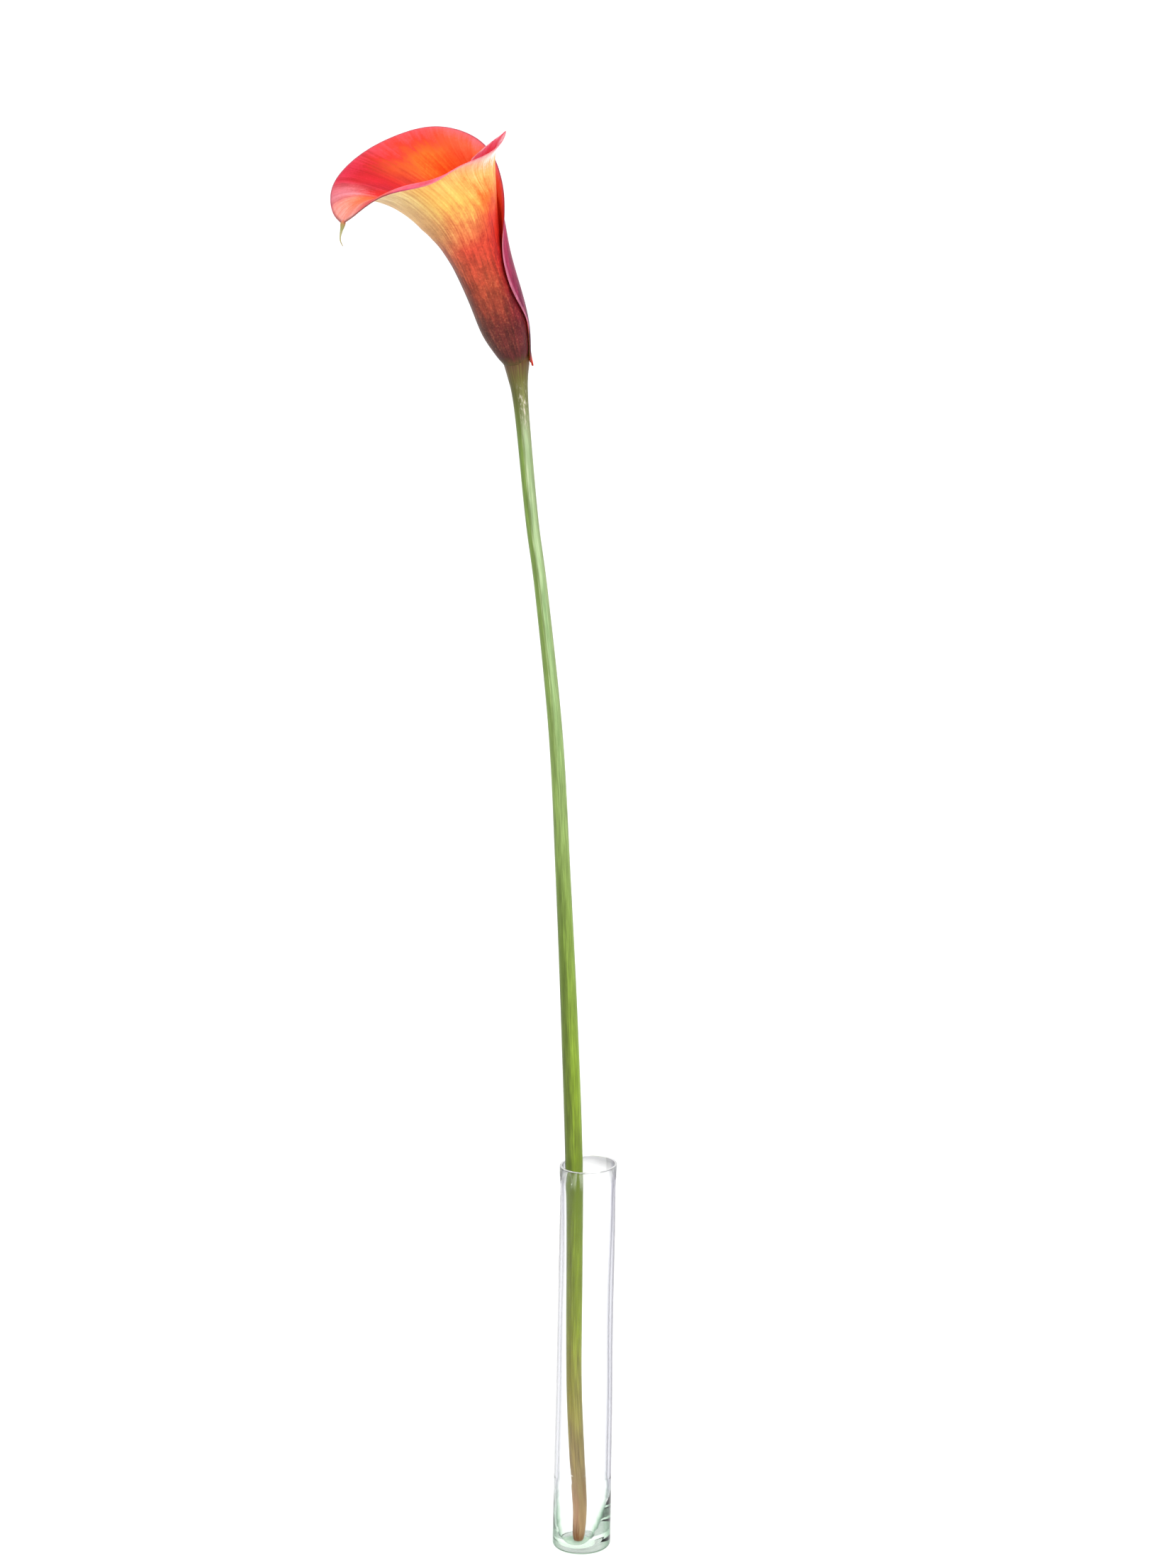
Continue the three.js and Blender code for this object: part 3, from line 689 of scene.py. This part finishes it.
spadix = run_tree(curve_object("spadix_line", spadix_line), tree, spadix_sizes)

# %% [markdown]
# Ripe florets are golden and powdered with pollen, so they look matt and a little grainy;
# the lower, female ones are greener. One ramp along the height gives both colours, and
# noise as fine as clumps of pollen roughens them.

# %% Pollen-dusted florets
POLLEN_MM = 0.385

add = shade_spadix
where = add("TexCoord").outputs["Object"]
high = add("SeparateXYZ", {0: where})
climb = add("MapRange", {"Value": high.outputs["Z"], "From Min": 0.542, "From Max": 0.590})
tone = add("ValToRGB", {0: climb}, stops={0.0: "#a9a24a", 0.22: "#c2a63a", 0.30: "#e3a92c", 1.0: "#eec152"})
grain = add("TexNoise", {"Vector": where, "Scale": 1 / (POLLEN_MM * MM), "Detail": 2})
dust = add("Mix", {0: grain, 6: tone, 7: "#f6dc8a"}, **COLOUR)
bump = add("Bump", {"Height": grain, "Strength": 0.4, "Distance": 0.0001})
shader = add("BsdfPrincipled", {"Base Color": dust, "Roughness": 0.8, "Subsurface Weight": 0.15,
    "Subsurface Scale": 0.001, "Normal": bump})
add("OutputMaterial", {"Surface": shader})
hand_over(spadix, spadix_material, "spadix")

# %% [markdown]
# The spathe is one leaf, rolled into a funnel. It is drawn as a net of lines that climb the
# tube from the collar and turn out to the rim: from the inner margin, tucked in on the
# right, round the near side, the tip on the left and the far side, to the outer margin,
# which laps over the near side on the right. A smooth spline sheet is laid through the
# net, so neighbouring lines flow into each other as veins of one leaf do.

# %% Net of the spathe
# Rings of the tube: middle, half width, half depth, tilt, angle of the outer margin, tuck.
TUBE_RINGS = [
    (-0.4, 0, 5.4, 5.6, 10, 374, 0.6), (-2.2, 6.2, 7.4, 7.2, 16, 376, 0.6),
    (-5, 15, 11.2, 10.6, 20, 381, 0.6), (-9.2, 27.6, 11.2, 12, 20, 408, 0.9),
    (-14.3, 42, 11.8, 13.2, 22, 404, 2.4), (-19, 56, 14.4, 16.5, 24, 384, 3),
    (-22.5, 69.5, 19.5, 21.5, 24, 372, 4.4)]
OUTER_LAP = 0.6
# Ends of the lines on the rim: place, angle round the tube, slope of the lip and, where they
# aren't 9 and 1, the lip's length and the share of the tube's height that the line climbs.
RIM = [
    (-19, 9, 86, -52, 60), (-12.5, 4, 92.5, -30, 50), (-6, 0, 97.5, -12, 42), (-2.2, -2, 101.5, -4, 40),
    (-4.4, -4, 97.6, 4, 42), (-7.2, -9, 93.2, 16, 45, 8), (-14.5, -17, 90, 38, 40, 8),
    (-24.5, -25, 87.8, 60, 20, 8), (-33.5, -31, 80.5, 82, -20, 8), (-45, -31, 78.5, 104, -25, 8),
    (-56.5, -26, 75.3, 128, -30), (-66, -15, 67, 154, -45, 10), (-72.7, -4, 59.5, 178, -68, 12),
    (-78.5, 5, 62, 200, -55, 12), (-80, 14, 71, 218, -30, 10), (-75.8, 22, 78.2, 234, -5),
    (-65.5, 28, 86.6, 252, 12), (-51.5, 32, 93, 270, 22), (-36, 32, 97.5, 290, 27), (-21, 27, 95, 310, 35),
    (-11, 18, 89, 330, 50, 8, 0.97), (-6.4, 9, 79, 352, 70, 8, 0.88), (-4.6, 2, 68, 374, 78, 7, 0.78),
    (-5.8, -6, 57, 400, 84, 7, 0.64)]
MOUTH_MIDDLE_X = -38.5


def net_line(x, y, z, angle, slope, lip=9, top=1):
    """One line of the net, from the collar to the rim, in millimetres from the collar."""
    line = []
    for k in range(len(TUBE_RINGS)):
        i = min(int(k * top), len(TUBE_RINGS) - 2)
        share = k * top - i
        low, high = np.array(TUBE_RINGS[i]), np.array(TUBE_RINGS[i + 1])
        right, up, wide, deep, tilt, margin, tuck = low * (1 - share) + high * share
        turn = math.radians(angle if angle < 300 else 300 + (angle - 300) * (margin - 300) / 100)
        lap = OUTER_LAP * ease(angle, 240, 330) - tuck * ease(angle, 90, 15)
        across = math.cos(turn) * (wide + lap)
        tilt = math.radians(tilt)
        line.append((right + across * math.cos(tilt), -math.sin(turn) * (deep + lap),
                     up + across * math.sin(tilt)))
    rim = np.array([x, y, z], dtype=float)
    out = np.array([x - MOUTH_MIDDLE_X, y, 0])
    out = out / np.linalg.norm(out) * math.cos(math.radians(slope))
    out[2] = math.sin(math.radians(slope))
    return line + [rim - lip * out, rim]


def spline_weights(count, shares):
    """Weights of a clamped cubic B-spline, one row for each share of the way."""
    knots = np.concatenate([[0] * 3, np.linspace(0, 1, count - 2), [1] * 3])
    shares = np.minimum(shares, 1 - 1e-9)[:, None]
    weights = ((knots[:-1] <= shares) & (shares < knots[1:])).astype(float)
    for degree in (1, 2, 3):
        spans = np.maximum(knots[degree:-1] - knots[:-degree - 1], 1e-12)
        rise = (shares - knots[:-degree - 1]) / spans * weights[:, :-1]
        spans = np.maximum(knots[degree + 1:] - knots[1:-degree], 1e-12)
        fall = (knots[degree + 1:] - shares) / spans * weights[:, 1:]
        weights = rise + fall
    return weights


net = np.array([net_line(*line) for line in RIM]) + FLOWER
print("net of the spathe:", net.shape[0], "lines of", net.shape[1], "points")

# %% [markdown]
# The sheet is thick and fleshy at the collar, under a millimetre along the tube and thin at
# its free margin, where it ends in a round edge. Its near rim rises to a crest and curls
# outward, fine ribs run along it, and the foot of its outer margin is frayed. Two skins are
# offset from the middle sheet and stitched together at the edges.

# %% Sheet of the spathe
COLUMNS = 300
ROWS = 130
SHEET_THICKNESS = 0.9
MARGIN_THICKNESS = 0.5
RIBS = 60
RIB_HEIGHT = 0.015
WAIST = 0.45
CREST_PULL = (0, 0, 1.1)
TIP_AT = 0.53
TIP_PULL = (-0.36, 0, -1.6)
EAR_AT = 0.095
EAR_PULL = (-1.5, 0, -1.7)
EAR_TIP_PULL = (0.3, 0, 0.7)
LEFT_LIFT_T = [0.55, 0.66, 0.735, 0.79, 0.835, 0.87, 0.90, 0.925, 0.955, 1.0]
LEFT_LIFT_MM = [-0.2, -1.1, -2.1, -1.8, 0.1, 1.7, 2.8, 3.0, 2.0, 0]


def edge_spacing(count, ends):
    """Shares from 0 to 1 that crowd towards the edges which need a round finish."""
    even = np.linspace(0, 1, count - 5 * len(ends))
    close = np.array([0.0005, 0.0015, 0.003, 0.0048, 0.007])
    extra = [close if end == 0 else 1 - close for end in ends]
    return np.sort(np.concatenate([even] + extra))


def swell(x, middle, width):
    """A round bump that is 1 in the middle."""
    return np.exp(-((x - middle) / width) ** 2)


def spike(x, middle, width):
    """A pointed bump that is 1 in the middle."""
    return np.exp(-np.abs(x - middle) / width)


s = edge_spacing(COLUMNS, (0, 1))
t = edge_spacing(ROWS, (1,))
around, along = spline_weights(len(net), s), spline_weights(net.shape[1], t)
sheet = np.einsum("ai,bj,ijk->abk", around, along, net)
tangent_s = np.gradient(sheet, s, axis=0)
tangent_t = np.gradient(sheet, t, axis=1)
normal = np.cross(tangent_t, tangent_s)
collar_up = np.array([-math.sin(math.radians(10)), 0, math.cos(math.radians(10))])
normal[:, 0] -= (normal[:, 0] @ collar_up)[:, None] * collar_up
normal /= np.linalg.norm(normal, axis=2, keepdims=True)
grid_s, grid_t = np.meshgrid(s, t, indexing="ij")
ribs = np.sin(grid_s * 2 * math.pi * RIBS + 1.5 * np.sin(grid_s * 37)) * ease(grid_t, 0, 0.1)
ribs = RIB_HEIGHT * ribs * (0.4 + 0.6 * grid_t)
waist = WAIST * swell(grid_t, 0.27, 0.15)
sheet = sheet + normal * (ribs - waist)[:, :, None]
crest = ease(grid_s, 0.28, 0.34) * ease(grid_s, 0.45, 0.38) * swell(grid_t, 0.955, 0.03)
cusp = spike(grid_s, TIP_AT, 0.009) * ease(grid_t, 0.93, 1)
ear = swell(grid_s, EAR_AT, 0.045) * ease(grid_t, 0.86, 1)
ear_tip = spike(grid_s, EAR_AT, 0.012) * ease(grid_t, 0.93, 1)
for share, pull in ((crest, CREST_PULL), (cusp, TIP_PULL), (ear, EAR_PULL), (ear_tip, EAR_TIP_PULL)):
    sheet += np.multiply.outer(share, pull)
left_lip = swell(grid_s, 0.515, 0.055)
sheet[:, :, 2] += left_lip * np.interp(grid_t, LEFT_LIFT_T, LEFT_LIFT_MM)
fray = ease(grid_s, 0.925, 0.955) * ease(grid_s, 1.006, 0.976) * ease(grid_t, 0.05, 0)
teeth = 1.7 + 1.2 * np.sin(grid_s * 520) * np.cos(grid_s * 197)
sheet += fray[:, :, None] * (teeth[:, :, None] * -collar_up + normal * 0.8)
edge = np.minimum(np.minimum(grid_s, 1 - grid_s), 1 - grid_t) / 0.008
rounding = np.sqrt(np.clip(1 - (1 - np.clip(edge, 0, 1)) ** 2, 0.01, 1))
thin_foot = np.maximum(0.12 + 0.88 * ease(grid_t, 0, 0.045), 0.7 * fray)
half = (SHEET_THICKNESS + (MARGIN_THICKNESS - SHEET_THICKNESS) * ease(grid_t * 1.1)) / 2
half = half * rounding * thin_foot
outer = sheet + normal * half[:, :, None]
inner = sheet - normal * half[:, :, None]
print("sheet of", COLUMNS, "by", ROWS, "points")

# %% [markdown]
# The midrib of the leaf runs out into a dry tail that hooks back below the tip. It could be
# pulled out of the sheet, but a thread that thin needs far finer columns, so it is a round
# tube of its own that starts inside the sheet's tip and belongs to the same piece.

# %% Tail of the spathe
TAIL_POINTS = [(-72.75, -3.5, 61.5, 0.3), (-73.0, -3.4, 60.8, 0.9), (-73.35, -3.2, 59.8, 1.1),
               (-73.65, -3.1, 58.4, 0.85), (-74.05, -3, 56.9, 0.58), (-74.5, -3, 54.6, 0.36),
               (-74.5, -3, 53.0, 0.28), (-74.1, -3, 51.6, 0.22), (-73.4, -3, 50.4, 0.12)]
TAIL_SIDES = 14


def round_tube(line, sides):
    """Points and faces of a closed round tube along a line with radii."""
    forward = np.gradient(line[:, :3], axis=0)
    forward /= np.linalg.norm(forward, axis=1, keepdims=True)
    back = np.array([0, 1.0, 0])
    across = np.cross(back, forward)
    across /= np.linalg.norm(across, axis=1, keepdims=True)
    up = np.cross(forward, across)
    turns = np.arange(sides) * 2 * math.pi / sides
    rings = (line[:, None, :3] + line[:, None, 3:4] * (across[:, None] * np.cos(turns)[None, :, None]
             + up[:, None] * np.sin(turns)[None, :, None]))
    points = rings.reshape(-1, 3)
    faces = join_rings(len(line), sides)
    faces.append(tuple(range(sides))[::-1])
    faces.append(tuple((len(line) - 1) * sides + k for k in range(sides)))
    return points, faces


tail_points, tail_faces = round_tube(through(TAIL_POINTS, 40) + np.array([*FLOWER, 0]), TAIL_SIDES)
print("tail of", len(tail_points), "points")

# %% Stitch the spathe together
# One ring of points goes up the outer skin and down the inner one, so the rings' faces
# close the collar and the rim, and only the two margins are left to stitch.
tail_count = len(tail_points)
tail_share = np.repeat(np.linspace(0, 1, tail_count // TAIL_SIDES), TAIL_SIDES)
ring = 2 * ROWS
skin_count = COLUMNS * ring
faces = join_rings(COLUMNS, ring)
for j in range(ROWS - 1):
    a, b, last = j, ring - 1 - j, skin_count - ring
    faces += [(b, b - 1, a + 1, a), (last + a, last + a + 1, last + b - 1, last + b)]
faces += [tuple(k + skin_count for k in face) for face in tail_faces]
skin = np.concatenate([outer, inner[:, ::-1]], axis=1).reshape(-1, 3)
spathe = make_mesh("lily_spathe", np.vstack([skin, tail_points]), faces)

for name, on_outer, on_inner, on_tail in (
        ("around", grid_s, grid_s, 0.52), ("along", grid_t, grid_t, 1), ("inside", 0, 1, 1),
        ("fray", fray, fray, 0), ("tail", 0, 0, tail_share)):
    on_outer, on_inner = np.broadcast_arrays(on_outer, on_inner, grid_s)[:2]
    on_skin = np.concatenate([on_outer, on_inner[:, ::-1]], axis=1).ravel()
    values = np.concatenate([on_skin, np.broadcast_to(on_tail, tail_count)])
    attribute = spathe.data.attributes.new(name, "FLOAT", "POINT")
    attribute.data.foreach_set("value", values.astype(np.float32))
print("spathe keeps", [a.name for a in spathe.data.attributes])

# %% [markdown]
# A calla's spathe is waxy and satin-smooth, and its veins run from the collar to the rim.
# This one flames: brown and maroon at the collar, orange and gold up the tube, red and pink
# at the rim. A painted texture would have to be painted anew for a new size. Here every
# point knows how far along and around the flat leaf it lies, and the patterns are noise
# laid on that flat leaf, given by their real width and length.

# %% Measures and patterns of the satin spathe
LEAF_WIDTH = 120
LEAF_LENGTH = 101
LEAF_PATTERNS = {"vein": (0.63, 20, 4.0, 0.55), "streak": (1.9, 25, 3.0, 0.55),
                 "blotch": (3.5, 6.7, 4.0, 0.65), "cloud": (7.5, 14.4, 3.0, 0.55)}
GRAIN_MM = 0.87
WANDER = {"vein": 0.06, "streak": 0.08, "blotch": 0.10, "cloud": 0.08, "grain": 0.04}

spathe_material, add = start_material("satin spathe of a flame calla")
leaf = {name: add("Attribute", attribute_name=name).outputs["Fac"]
        for name in ("along", "around", "inside", "tail", "fray")}
leaf_at = add("CombineXYZ", {"X": leaf["around"], "Y": leaf["along"]})
for name, (wide, long, detail, roughness) in LEAF_PATTERNS.items():
    scale = (LEAF_WIDTH / wide, LEAF_LENGTH / long, 1)
    place = add("Mapping", {"Vector": leaf_at, "Scale": scale})
    leaf[name] = add("TexNoise", {"Vector": place, "Scale": 1.0, "Detail": detail, "Roughness": roughness})
leaf["grain"] = add("TexNoise", {"Vector": add("TexCoord").outputs["Object"], "Scale": 1 / (GRAIN_MM * MM),
    "Detail": 4.0, "Roughness": 0.6})

# Every noise pushes the place on the ramps a little, so no colour ends in a straight line.
wander = -sum(WANDER.values()) / 2
for name, amount in WANDER.items():
    wander = add("Math", {0: leaf[name], 1: amount, 2: wander}, operation="MULTIPLY_ADD")
for start, end, least in ((0.0, 0.12, 0.3), (1.0, 0.9, 0.4)):
    loose = add("MapRange", {"Value": leaf["along"], "From Min": start, "From Max": end, "To Min": least})
    wander = add("Math", {0: wander, 1: loose}, **TIMES)
leaf["climb"] = add("Math", {0: leaf["along"], 1: wander}, operation="ADD")
print("spathe is coloured by", sorted(leaf))

# %% [markdown]
# The colour runs up the leaf in a few ramps, one for each part of its width, which are
# blended into each other round the leaf. Local tints are laid over them: each is a colour
# with the bounds between which it fades in. Some tints are painted light: highlights on the
# ear and where the lip rolls, shade on the left flank, and light over the shadow under the
# lap's edge.

# %% Ramps and tints of the spathe
OUTSIDE = [
    (None, {0: "#564422", 0.035: "#542220", 0.2: "#682622", 0.42: "#a8442c", 0.62: "#cc4530",
        0.75: "#da7e46", 0.84: "#e6b458", 1: "#e8b468"}),
    # In this ramp for the right side, the deep red near 0.52 is partly painted shade along the fold of the
    # near wall.
    ((0.335, 0.235), {0: "#50401f", 0.035: "#581e22", 0.3: "#76202a", 0.52: "#a21a1c", 0.72: "#d83220",
        0.82: "#e66e28", 0.9: "#e8b462", 1: "#f0ac90"}),
    ((0.37, 0.46), {0: "#4c3e1e", 0.04: "#42201a", 0.24: "#5a2820", 0.44: "#86321e", 0.62: "#c05c3a",
        0.74: "#c08852", 0.9: "#c2a06a", 1: "#d8bc8c"}),
    ((0.56, 0.66), {0: "#52441e", 0.06: "#5a2a22", 0.38: "#ac4228", 0.55: "#d0552e", 0.75: "#e2944a",
        0.96: "#e39a60", 1: "#d76464"}),
    ((0.82, 0.945), {0: "#9c301e", 0.05: "#4e1e36", 0.3: "#5e203e", 0.5: "#761e42", 0.8: "#a03052",
        1: "#bc5470"})]
INSIDE = [
    (None, {0: "#8c6e24", 0.4: "#c23a06", 0.7: "#de3410", 0.86: "#d6261a", 0.95: "#c41c28", 1: "#cc2844"}),
    ((0.67, 0.75), {0: "#8c6e24", 0.4: "#c85004", 0.76: "#ee420e", 0.86: "#f25410", 0.92: "#f47424",
        0.955: "#ea4028", 1: "#e04850"}),
    ((0.775, 0.85), {0: "#8c6e24", 0.5: "#ea3414", 0.88: "#f4501e", 0.96: "#f05c38", 1: "#e66068"}),
    ((0.61, 0.57), {0: "#8c6e24", 0.8: "#d84020", 0.93: "#e86e3e", 1: "#f09c92"}),
    ((0.51, 0.47), {0: "#8c6e24", 0.5: "#db5016", 0.85: "#e23820", 1: "#e04a44"}),
    ((0.43, 0.40), {0: "#8c6e24", 0.5: "#db5016", 0.85: "#e8442c", 1: "#ee5470"}),
    ((0.24, 0.15), {0: "#8c6e24", 0.5: "#e1521e", 0.93: "#e83648", 0.985: "#e4506a", 1: "#f0b0b4"})]
OUTSIDE_TINTS = {
    # Painted highlight: the ear is near white near the rim where it faces the light.
    "painted highlight on the ear": ("#fffaf8", 0.95, [("around", 0.25, 0.165), ("climb", 0.915, 0.97)]),
    "pink lip": ("#f0a6a2", 0.8, [("around", 0.35, 0.30), ("along", 0.965, 0.99)]),
    "white lip on the left": ("#f4ecdc", 0.85,
        [("around", 0.385, 0.41), ("around", 0.475, 0.455), ("along", 0.94, 0.97)]),
    # Painted shade: the left flank of the tube is darkened to brown.
    "painted shade on the left flank": ("#4c2a1c", 0.8,
        [("around", 0.43, 0.5), ("around", 0.6, 0.54), ("along", 0.06, 0.16), ("along", 0.85, 0.5)]),
    # Painted light: a pale edge on the lap, laid over the shadow of the gap beneath it.
    "painted light on the edge of the lap": ("#cc8098", 0.5, [("around", 0.9955, 0.998), ("along", 0.2, 0.3)]),
    "tan specks on the maroon": ("#c08a58", 0.1,
        [("grain", 0.5, 0.66), ("along", 0.03, 0.1), ("along", 0.62, 0.4)])}
INSIDE_TINTS = {
    "crimson clouds on the left": ("#a01634", 0.4, [("around", 0.76, 0.66), ("cloud", 0.48, 0.68)]),
    # Painted highlight: a pale pink band on the inside where the lip rolls over.
    "painted highlight where the lip rolls": ("#f0b8c0", 0.3,
        [("around", 0.58, 0.602), ("around", 0.645, 0.608), ("climb", 0.9, 0.97)])}


def blend_ramps(stations):
    """Ramps along the leaf, each blended in over a stretch of the leaf's width."""
    for reach, stops in stations:
        ramp = add("ValToRGB", {0: leaf["climb"]}, stops=stops)
        if reach:
            share = add("MapRange", {"Value": leaf["around"], "From Min": reach[0], "From Max": reach[1]},
                **SOFT)
            ramp = add("Mix", {0: share, 6: colour, 7: ramp}, **COLOUR)
        colour = ramp
    return colour


def lay_tints(colour, tints):
    """Lay each tint over the colour where all its measures are past their start."""
    for tone, most, bounds in tints.values():
        amount = most
        for name, start, full in bounds:
            reach = add("MapRange", {"Value": leaf[name], "From Min": start, "From Max": full}, **SOFT)
            amount = add("Math", {0: amount, 1: reach}, **TIMES)
        colour = add("Mix", {0: amount, 6: colour, 7: tone}, **COLOUR)
    return colour


outer_colour = lay_tints(blend_ramps(OUTSIDE), OUTSIDE_TINTS)
lining = lay_tints(blend_ramps(INSIDE), INSIDE_TINTS)
petal = add("Mix", {0: leaf["inside"], 6: outer_colour, 7: lining}, **COLOUR)
print("ramps:", len(OUTSIDE) + len(INSIDE), "tints:", len(OUTSIDE_TINTS) + len(INSIDE_TINTS))

# %% Texture, margin and tail of the spathe
rough = add("MapRange", {"Value": leaf["along"], "From Min": 0.85, "From Max": 0.6, "To Min": 0.25,
    "To Max": 0.5})
for name, amount, spread, dark, light in (
        ("vein", 0.32, 0.16, "#838383", "#e4e4e4"), ("blotch", rough, 0.15, "#8c8c8c", "#e0e0e0"),
        ("streak", rough, 0.14, "#9c9c9c", "#d6d6d6"), ("grain", rough, 0.2, "#9a9a9a", "#d8d8d8")):
    greys = add("ValToRGB", {0: leaf[name]}, stops={0.5 - spread: dark, 0.5 + spread: light})
    petal = add("Mix", {0: amount, 6: petal, 7: greys}, **COLOUR, blend_type="OVERLAY")
margin_tone = add("ValToRGB", {0: leaf["around"]},
    stops={0.0: "#c8606c", 0.34: "#d8808c", 0.385: "#a03c5c", 0.42: "#5a2830", 0.53: "#5a3028",
    0.58: "#b04a5c", 1.0: "#7a2a44"})
at_margin = add("MapRange", {"Value": leaf["along"], "From Min": 0.992, "From Max": 0.999, "To Max": 0.75},
    **SOFT)
margined = add("Mix", {0: at_margin, 6: petal, 7: margin_tone}, **COLOUR)
leaf["torn"] = add("Math", {0: leaf["streak"], 1: 1.4, 2: leaf["fray"]}, operation="MULTIPLY_ADD")
petal = lay_tints(margined, {
    "torn foot of the outer margin": ("#d8301c", 1.0, [("torn", 1.0, 1.25), ("fray", 0.0, 0.3)])})
tail_tone = add("ValToRGB", {0: leaf["tail"]}, stops={0.0: "#d8705a", 0.15: "#a8905c", 0.3: "#9c9860",
    0.6: "#b5b184", 1.0: "#a89a70"})
is_tail = add("Math", {0: leaf["tail"], 1: 0.001}, operation="GREATER_THAN")
petal = add("Mix", {0: is_tail, 6: petal, 7: tail_tone}, **COLOUR)
bump = add("Bump", {"Height": leaf["vein"], "Strength": 0.35, "Distance": 0.0002})
grainy = add("Bump", {"Height": leaf["grain"], "Strength": 0.12, "Distance": 0.0001, "Normal": bump})
shader = add("BsdfPrincipled", {"Base Color": petal, "Roughness": 0.42, "IOR": 1.38,
    "Specular IOR Level": 0.22, "Subsurface Weight": 0.12, "Subsurface Radius": (1.0, 0.35, 0.15),
    "Subsurface Scale": 0.001, "Normal": grainy})
add("OutputMaterial", {"Surface": shader})
hand_over(spathe, spathe_material, "spathe")
